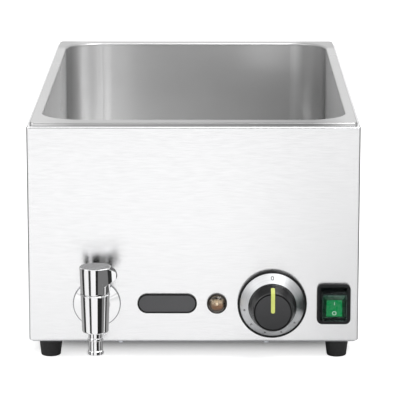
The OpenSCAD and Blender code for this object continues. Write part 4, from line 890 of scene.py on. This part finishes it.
# %% Hose nozzle
SPOUT = [
    (5, 7), (7, 7), (7, 0), (7.5, 0, 0.3), (7.5, -5.6, 0.3), (7.3, -6.4), (8.2, -6.4, 0.5), (8.2, -8.6, 0.5),
    (7.2, -8.8, 0.2), (7.2, -19.2, 0.3), (8.2, -19.6, 0.6), (8.2, -23.2, 0.8), (7.2, -24, 0.3), (5, -24, 0.3),
    (5, 7),
]
outlet = turned("hose_nozzle", eased(SPOUT))
settle(outlet, (tap.x, tap.y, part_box("tap_body")[0].z))
fit(outlet, "unit", "tap_chrome", "tap_nozzle")

# %% [markdown]
# ## Dial
# The dial is a silver ring that a black surround with a rolled lip holds to the front. The surround is one
# outline, spun: out along the front, round the lip, up under the ring and back.

# %% Dial surround
dial_place = (dial.x, front, row)
SURROUND = [
    (5.3, 0), (35.5, 0, 0.3), (35.5, 4.2, 1.4), (34.4, 5.6, 0.9), (33.1, 5.6, 0.3), (33.0, 4.8), (24.6, 14.2),
    (24.6, 12.1), (31, 2.8), (31, 2), (5.3, 2), (5.3, 0),
]
surround = turned("dial_surround", eased(SURROUND), 128)
settle(surround, dial_place, FACING)
fit(surround, "unit", "dial_black", "dial_base")

# %% [markdown]
# The knob on it is a moulded cone with a fine groove round its face. Its satin face carries painted shade,
# paler at the top and darker below, as in the photograph; the tone belongs to the knob and turns with it. The
# side and the groove are black.

# %% Knob
FACE_R, RIM_FROM, RIM_TO = 18, 19.15, 20.3
GRIP = [
    (0, 14.2), (22, 14.2), (22, 13), (24.1, 13, 0.3), (24.1, 17, 1.2), (20.2, 35.1, 0.6), (19.6, 36, 0.3),
    (19.2, 36, 0.12), (19.1, 34.8), (18.1, 34.8), (17.9, 36, 0.2), (10, 35.9), (0, 35.85),
]
grip = turned("dial_grip", eased(GRIP), 144)
# Painted shade: the face goes darker towards the bottom
recolour(look["knob_black"], "#1C1C1E", ("Z", row + 14 * MM, row - 18 * MM))
settle(grip, dial_place, FACING)
fit(grip, "dial_knob", "knob_black", "knob")


def knob_zone(face):
    """0 for the knob's face, 2 for its rim, 1 for the side and the groove."""
    away = math.hypot(face.center.x - dial.x, face.center.z - row) / MM
    height = (front - face.center.y) / MM
    if away < FACE_R and height > 35.5:
        return 0
    return 2 if RIM_FROM < away < RIM_TO and height > 35 else 1


touch_up(grip, ["knob_side", "knob_rim"], knob_zone)

# %% [markdown]
# The pointer is a strip let into the knob, from just past the middle of the face over its edge and down the
# side. A line is drawn along that way, widened into a ribbon, rounded at its ends and given a thickness.

# %% Pointer
POINTER_WIDE = 4.0
# Place up the knob's face, and height over the front
WAY = [
    (-0.8, 36.25), (8, 36.25), (16, 36.25), (19.0, 36.2), (19.9, 35.7), (20.4, 34.9), (21.2, 31.0),
    (22.4, 25.6),
]
ribbon = drawn("dial_pointer", [(-POINTER_WIDE / 2, up, height) for up, height in WAY])
bpy.ops.mesh.extrude_edges_move(TRANSFORM_OT_translate={"value": (POINTER_WIDE * MM, 0, 0)})
ends = (WAY[0][0], WAY[-1][0])
pick(ribbon, "VERT", lambda p, n: min(abs(p.y - e) for e in ends) < 0.01)
bpy.ops.mesh.bevel(offset=1.7 * MM, segments=8, affect="VERTICES")
close_up()
modify(ribbon, "SOLIDIFY", thickness=0.9 * MM, offset=0)
settle(ribbon, dial_place, FACING)
fit(ribbon, "dial_knob", "pointer_inlay", "knob_pointer")

# %% [markdown]
# The scale is printed round the ring: a nought at the top, then six marks clockwise over the lower half, with
# none in the gaps on both sides of the nought. Each figure is set as type, made a mesh, and laid on the slope
# of the cone.


# %% Scale figures
def lettered(name, text, size):
    """A figure as a flat mesh, centred, size in mm."""
    bpy.ops.object.select_all(action="DESELECT")
    bpy.ops.object.text_add()
    mark = bpy.context.object
    mark.data.body = text
    mark.data.size = size * MM
    mark.data.align_x, mark.data.align_y = "CENTER", "CENTER"
    mark.data.extrude = 0.04 * MM
    bpy.ops.object.convert(target="MESH")
    return named(bpy.context.object, name)


SLOPE = math.atan2(9.4, 8.4)
RING, RISE, INK = 28.9, 10.25, 0.05
NOUGHT, FIGURE = 7.2, 5.0
FIRST_AT, APART = 94.4, 33.4
stand = Matrix.Translation(dial_place) @ Matrix.Rotation(FACING[0], 4, "X")
lie = Matrix.Rotation(-SLOPE, 4, "X")
lie.translation = Vector((0, RING + INK * math.sin(SLOPE), RISE + INK * math.cos(SLOPE))) * MM
figures = []
for k in range(7):
    angle = math.radians(FIRST_AT + APART * (k - 1) if k else 0)
    mark = lettered(f"figure_{k}", str(k), FIGURE if k else NOUGHT)
    mark.matrix_world = stand @ Matrix.Rotation(-angle, 4, "Z") @ lie
    figures.append(mark)
bpy.ops.object.select_all(action="DESELECT")
for mark in figures:
    mark.select_set(True)
bpy.context.view_layer.objects.active = figures[0]
bpy.ops.object.transform_apply(location=True, rotation=True, scale=True)
bpy.ops.object.join()
scale_print = named(figures[0], "scale_print")
fit(scale_print, "unit", "dial_black", wears="print_black")

# %% [markdown]
# ## Switch
# A rocker switch for wet places: a glossy frame, a green key that sinks at its off end, and a soft clear cover
# clipped over both. The frame is a tray with rounded corners and an opening in its floor for the key.


# %% Switch frame
def plate(name, wide, tall, corner, segments=8):
    """A flat face with rounded corners, in mm, open for editing."""
    bpy.ops.object.select_all(action="DESELECT")
    bpy.ops.mesh.primitive_plane_add(size=1)
    piece = named(bpy.context.object, name)
    bpy.ops.object.mode_set(mode="EDIT")
    bpy.ops.mesh.select_mode(type="VERT")
    bpy.ops.mesh.select_all(action="SELECT")
    bpy.ops.transform.resize(value=(wide * MM, tall * MM, 1))
    bpy.ops.mesh.bevel(offset=corner * MM, segments=segments, affect="VERTICES")
    bpy.ops.mesh.select_all(action="SELECT")
    return piece


switch_x = middle("switch_frame").x
TRAY_TALL, TRAY_DEEP, TRAY_WALL, TRAY_FLOOR = 4, 3.2, 3.5, 4.9
# The inset alone leaves an opening 25.2 mm tall; the key needs 20 mm
SHORTER = 20 / 25.2
bezel = plate("switch_bezel", 34.5, 42, 5.5)
push(TRAY_TALL)
bpy.ops.mesh.inset(thickness=TRAY_WALL * MM, depth=0)
push(-TRAY_DEEP)
bpy.ops.mesh.inset(thickness=TRAY_FLOOR * MM, depth=0)
bpy.ops.transform.resize(value=(1, SHORTER, 1))
bpy.ops.mesh.delete(type="FACE")
pick(bezel, "FACE", lambda p, n: p.z < 0.1)
bpy.ops.mesh.delete(type="FACE")
close_up()
modify(bezel, "BEVEL", width=1.0 * MM, segments=4, limit_method="ANGLE", angle_limit=math.radians(50))
settle(bezel, (switch_x, front, row), FACING)
fit(bezel, "unit", "switch_black", "switch_frame")

# %% [markdown]
# The cover is a hollow box of soft vinyl that narrows towards its front, with generous round edges. Where its
# wall turns the eye looks through more of it, so the edges of the front show.

# %% Clear cover
hood = plate("splash_cover", 27.0, 34.4, 2.5)
push(4)
push(16)
bpy.ops.transform.resize(value=(25 / 27, 27 / 34.4, 1))
pick(hood, "FACE", lambda p, n: p.z < 0.1)
bpy.ops.mesh.delete(type="FACE")
close_up()
modify(hood, "BEVEL", width=1.6 * MM, segments=5, limit_method="ANGLE", angle_limit=math.radians(40))
modify(hood, "SOLIDIFY", thickness=0.9 * MM, offset=-1)
settle(hood, (switch_x, front - 0.1 * MM, row), FACING)
hood.visible_shadow = False
fit(hood, "unit", "cover_clear", "switch_cover")
EDGE_FROM = front - 15 * MM
touch_up(hood, ["cover_edge"], lambda f: int(-0.85 < f.normal.y < -0.4 and f.center.y < EDGE_FROM))

# %% [markdown]
# The key rocks on an axle 6 mm in front of the casing. Its face is a shallow V, so that whichever half is out
# stands clear and the other lies flat. A skirt hides the gap round the collar that it rocks in; it slopes away
# from the face and is drawn deeper green, a painted shade.

# %% Green key
TILT = math.radians(7)
AXLE = 6.0
KEY_WIDE, KEY_TALL, SKIRT_WIDE, SKIRT_TALL = 16, 18, 22.4, 24
key = plate("rocker_key", KEY_WIDE, KEY_TALL, 1.0, 3)
for rise, wide, tall in (
    # Up through the collar, out into the skirt, up its edge and in along its slope to the face
    (9.7, 1, 1),
    (0, SKIRT_WIDE / KEY_WIDE, SKIRT_TALL / KEY_TALL),
    (0.7, 1, 1),
    (2.2, KEY_WIDE / SKIRT_WIDE, KEY_TALL / SKIRT_TALL),
):
    push(rise)
    bpy.ops.transform.resize(value=(wide, tall, 1))
bpy.ops.mesh.select_all(action="SELECT")
bpy.ops.transform.translate(value=(0, 0, -4.1 * MM))
bpy.ops.mesh.bisect(plane_co=(0, 0, 0), plane_no=(0, 1, 0))
pick(key, "VERT", lambda p, n: p.z > 8)
bpy.ops.object.mode_set(mode="OBJECT")
for v in key.data.vertices:
    if v.select:
        v.co.z += (abs(v.co.y) - KEY_TALL / 2 * MM) * math.tan(TILT) + 1.1 * MM
modify(key, "BEVEL", width=0.3 * MM, segments=3, limit_method="ANGLE", angle_limit=math.radians(25))
axle = Vector((switch_x, front - AXLE * MM, row))
settle(key, axle, (FACING[0] + TILT, 0, 0))
fit(key, "switch_rocker", "rocker_green", "rocker")
# Painted shade on every face of the key but its front
touch_up(key, ["rocker_side"], lambda face: int(face.normal.y >= -0.93))

# %% [markdown]
# The key's face carries two white marks, set as type in the same way as the figures and laid on its two slopes.

# %% Marks on the key
FACE_AT, PROUD = 8.5, 0.06
stand = Matrix.Translation(axle) @ Matrix.Rotation(FACING[0] + TILT, 4, "X")
for name, text, side, off, size in (("mark_on", "I", 1, 4.9, 5.0), ("mark_off", "O", -1, 5.6, 5.8)):
    mark = lettered(name, text, size)
    lie = Matrix.Rotation(side * TILT, 4, "X")
    lie.translation = Vector((0, side * off, FACE_AT + off * math.tan(TILT) + PROUD)) * MM
    mark.matrix_world = stand @ lie
    bpy.ops.object.transform_apply(location=True, rotation=True, scale=True)
    fit(mark, "switch_rocker", "rocker_green", wears="print_white")

# %% [markdown]
# ## Lamp
# The pilot lamp is a clear amber dome, moulded as a hollow lens with a rim that clips into the bezel.

# %% Lamp dome
lamp_x = middle("lamp_lens").x
lamp_place = (lamp_x, front, row)
DOME = [
    (0, 6.6), (4, 6.2), (7, 5), (8.1, 3.85), (7.6, 3.6), (7.6, 1.4), (7.75, 1.4), (7.75, 3.55),
    (8.6, 3.65, 0.1), (8.6, 4.3, 0.5), (7.4, 6.0, 1.2), (3.8, 7.3, 1.5), (0, 7.5),
]
dome = turned("lamp_dome", eased(DOME), 72)
settle(dome, lamp_place, FACING)
dome.visible_shadow = False
fit(dome, "unit", "lens_amber", "lamp_lens")

# %% [markdown]
# Under it a small neon tube stands in a silver cup with ten facets, which gives the lamp its sparkle when it is
# off. The cup carries a painted reflection of the tube, brown below, and painted shade of the bezel round the
# rim, darkest above; these tones are those that the photograph shows in the lens.

# %% Cup and neon tube
CUP = [(0, 1.5), (1.8, 1.55), (4.6, 1.9), (7.3, 3.1), (7.3, 1.45), (0, 1.45)]
# Painted reflection of the tube below the middle, then painted shade round the rim: above, below and at both
# sides
for shade, *run in (
    ("#8A6444", "Z", row + 1.5 * MM, row - 2.5 * MM),
    ("#2A2219", "Z", row + 3.2 * MM, row + 5.4 * MM),
    ("#42290F", "Z", row - 4.2 * MM, row - 6.2 * MM),
    ("#402C14", "X", 4.8 * MM, 6.6 * MM, lamp_x),
):
    recolour(look["cup_silver"], shade, run)
cup = turned("lamp_cup", CUP, 10)
settle(cup, lamp_place, FACING, 5)
fit(cup, "unit", "lamp_black", wears="cup_silver")
neon = turned("lamp_neon", eased([(0, 1.3), (1.5, 1.3), (1.5, 4.6, 1.2), (0, 5.2)]), 24)
settle(neon, lamp_place, FACING)
fit(neon, "unit", "lens_amber", wears="neon_glass")

# %% [markdown]
# ## Badge
# The badge is a bare plate with round ends, a raised black edge and a dark grey field. A circle is pulled
# apart into the long shape, raised, and its field is set in.

# %% Badge
END_R, HALF_LONG, THICK, SET_IN = 10.25, 20.25, 2.0, 0.5
bpy.ops.object.select_all(action="DESELECT")
bpy.ops.mesh.primitive_circle_add(vertices=62, radius=END_R * MM, fill_type="NGON")
badge = named(bpy.context.object, "badge")
for side in (-1, 1):
    pick(badge, "VERT", lambda p, n: p.x * side > 0)
    bpy.ops.transform.translate(value=(side * HALF_LONG * MM, 0, 0))
    bpy.ops.object.mode_set(mode="OBJECT")
pick(badge, "FACE", lambda p, n: True)
push(THICK)
bpy.ops.mesh.inset(thickness=1.3 * MM, depth=0)
bpy.ops.mesh.inset(thickness=0.4 * MM, depth=-SET_IN * MM)
close_up()
modify(badge, "BEVEL", width=0.35 * MM, segments=3, limit_method="ANGLE", angle_limit=math.radians(60))
settle(badge, (middle("badge_plate").x, front, row), FACING)
fit(badge, "unit", "badge_dark", "badge_plate")
field = front / MM - THICK + SET_IN


def badge_zone(face):
    """0 for the field of the badge, 1 for its edge."""
    return 0 if face.normal.y < -0.9 and abs(face.center.y / MM - field) < 0.1 else 1


touch_up(badge, ["badge_edge"], badge_zone)

# %% [markdown]
# ## Cable gland
# A nylon gland in the rear wall holds the mains cable of such an appliance: a flange against the wall and a
# dome nut that grips the cable. Every third strip of the nut is set in, which leaves ribs for the fingers.

# %% Cable gland
GLAND = [
    (5, -10), (7.9, -10), (7.9, 0), (10.8, 0, 0.4), (10.8, 5, 0.6), (9.9, 5.2), (10.4, 5.8), (10.4, 9.2),
    (8.6, 11.6, 1.6), (5.4, 12, 0.4), (4.1, 11.2, 0.3), (4.1, 4), (5, 4), (5, -10),
]
STRIPS = 72
gland = middle("cable_gland")
nut = turned("gland_body", eased(GLAND), STRIPS)


def in_rib_gap(p, n):
    """Whether a face of the nut's round wall lies on every third strip."""
    strip = int((math.degrees(math.atan2(p.y, p.x)) + 360) / (360 / STRIPS))
    return 5.9 < p.z < 9.1 and abs(n.z) < 0.3 and strip % 3 == 0


pick(nut, "FACE", in_rib_gap)
bpy.ops.mesh.inset(thickness=0.12 * MM, depth=-0.5 * MM, use_individual=True)
settle(nut, (gland.x, casing_high.y, gland.z), (math.radians(-90), 0, 0), 30)
fit(nut, "unit", "gland_black", "cable_gland")

# %% [markdown]
# ## Cards for the chrome
# A round chrome part shows the whole studio squeezed across it, so it needs dark bands near by to look like
# metal. Curved cards stand round the tap, each where a band of it looks; only what is within a few
# centimetres sees them.

# %% Cards round the tap
TAP_R = 14.9
NEAR_SHELL, NEAR_REACH, FAR_REACH = 24, 22, 0.75


def looks_at(turn, shell):
    """Direction from the tap's axis in which a strip of it facing that way sees a shell round it."""
    return 2 * turn - math.degrees(math.asin(TAP_R * math.sin(math.radians(turn)) / shell))


def curved_card(name, tone, shell, first, last, bottom, top, steps, reach):
    """A card bent round the tap's axis between two directions in degrees, sizes in mm."""
    sheet = turned(name, [(shell, bottom), (shell, top)], steps, last - first)
    # A spin runs clockwise from where it starts
    settle(sheet, (tap.x, tap.y, 0), (0, 0, math.radians(last - 90)))
    hang(sheet, tone, reach)


# Name, from and to the strip's facing, tone, radius, from and to height
TAP_CARDS = (
    ("tap_card_a", -80, -54, 0.40, NEAR_SHELL, 8, 108),
    ("tap_card_b", -54, -42, 0.04, NEAR_SHELL, 8, 108),
    ("tap_card_c", -23, -14, 0.05, NEAR_SHELL, 8, 108),
    ("tap_card_d", 11, 30, 0.02, NEAR_SHELL, 8, 78.5),
    ("tap_card_e", 30, 41, 0.20, NEAR_SHELL, 8, 78.5),
    ("tap_card_f", 46, 55, 0.05, NEAR_SHELL, 8, 78.5),
    ("tap_card_g", 55, 80, 0.30, NEAR_SHELL, 8, 78.5),
    ("tap_card_h", 4, 13, 0.03, NEAR_SHELL, 78.5, 108),
    ("tap_card_i", 13, 30, 0.18, NEAR_SHELL, 78.5, 108),
    # Further out, so that the beak's flank shows them near its root only
    ("tap_card_j", 30, 37.6, 0.18, 36, 74, 106),
    ("tap_card_k", 37.6, 41.3, 0.03, 36, 74, 106),
    ("tap_card_l", 41.3, 52, 1.0, 36, 74, 106),
    ("tap_card_m", 46, 66, 0.10, 30, 68, 84),
)
for name, start, end, tone, shell, bottom, top in TAP_CARDS:
    reach = NEAR_REACH if shell == NEAR_SHELL else FAR_REACH * shell
    first, last = looks_at(start, shell), looks_at(end, shell)
    curved_card(name, tone, shell, first, last, bottom, top, 16, reach)
print(len(TAP_CARDS), "cards round the tap")

# %% [markdown]
# Behind the cap hang five more, between it and the front: the steel above the tap shows them as upright
# streaks, a painted reflection of the cap's dark back. A white one in front of the cap keeps its dark top out
# of that reflection.

# %% Cards behind the cap
BEHIND, STEEL_REACH, TOP_REACH = 24.0, 42, 60
# Name, from and to the place across, tone, from and to height
BACK_CARDS = (
    ("back_card_a", -12.6, -8.4, 0.02, 84, 105.5),
    ("back_card_b", -5, 2.4, 0.0, 84, 106.5),
    ("back_card_c", 2.4, 9.2, 0.14, 84, 106),
    ("back_card_d", 11, 15.6, 0.02, 84, 105.5),
    ("back_card_e", 15.6, 21.5, 0.25, 99, 105),
)
for name, start, end, tone, bottom, top in BACK_CARDS:
    first, last = (180 - math.degrees(math.asin(across / BEHIND)) for across in (end, start))
    curved_card(name, tone, BEHIND, first, last, bottom, top, 8, STEEL_REACH)
cap_front = (tap.x, tap.y - 17.5 * MM, 113.5 * MM)
card("cap_card", cap_front, (UPRIGHT, 0, 0), (60 * MM, 10.6 * MM), 1.0, TOP_REACH)
print(len(BACK_CARDS), "cards behind the cap and one in front")

# %% [markdown]
# The well's rear wall gathers the light of the room in soft bands. Narrow strip lamps that only reflections
# see stand in for it: two before the left corner, of unlike length, so that the band there fades downwards,
# and two that face the wall, a tall one at the left and a short one high at the right.

# %% Strip lamps in the well
# Name, x, y, facing, width, from and to height in mm, and how bright it looks
for name, x, y, facing, wide, bottom, top, bright in (
    ("well_strip_a", -109, 252, 54, 10, 205, 270, 0.34),
    ("well_strip_b", -109, 252, 54, 10, 130, 270, 0.36),
    ("well_strip_c", -104, 170, 0, 36, 110, 290, 0.28),
    ("well_strip_d", 88, 170, 0, 56, 198, 262, 0.22),
):
    place = Vector((x, y, (bottom + top) / 2)) * MM
    bpy.ops.object.light_add(type="AREA", location=place, rotation=(UPRIGHT, 0, math.radians(facing)))
    strip = bpy.context.object
    strip.name = name
    strip.data.shape = "RECTANGLE"
    strip.data.size, strip.data.size_y = wide * MM, (top - bottom) * MM
    strip.data.energy = bright * math.pi * wide * (top - bottom) * MM**2
    for ray in ("camera", "diffuse", "transmission", "volume_scatter"):
        setattr(strip, "visible_" + ray, False)
    print(name, round(strip.data.energy * 1000, 1), "mW")
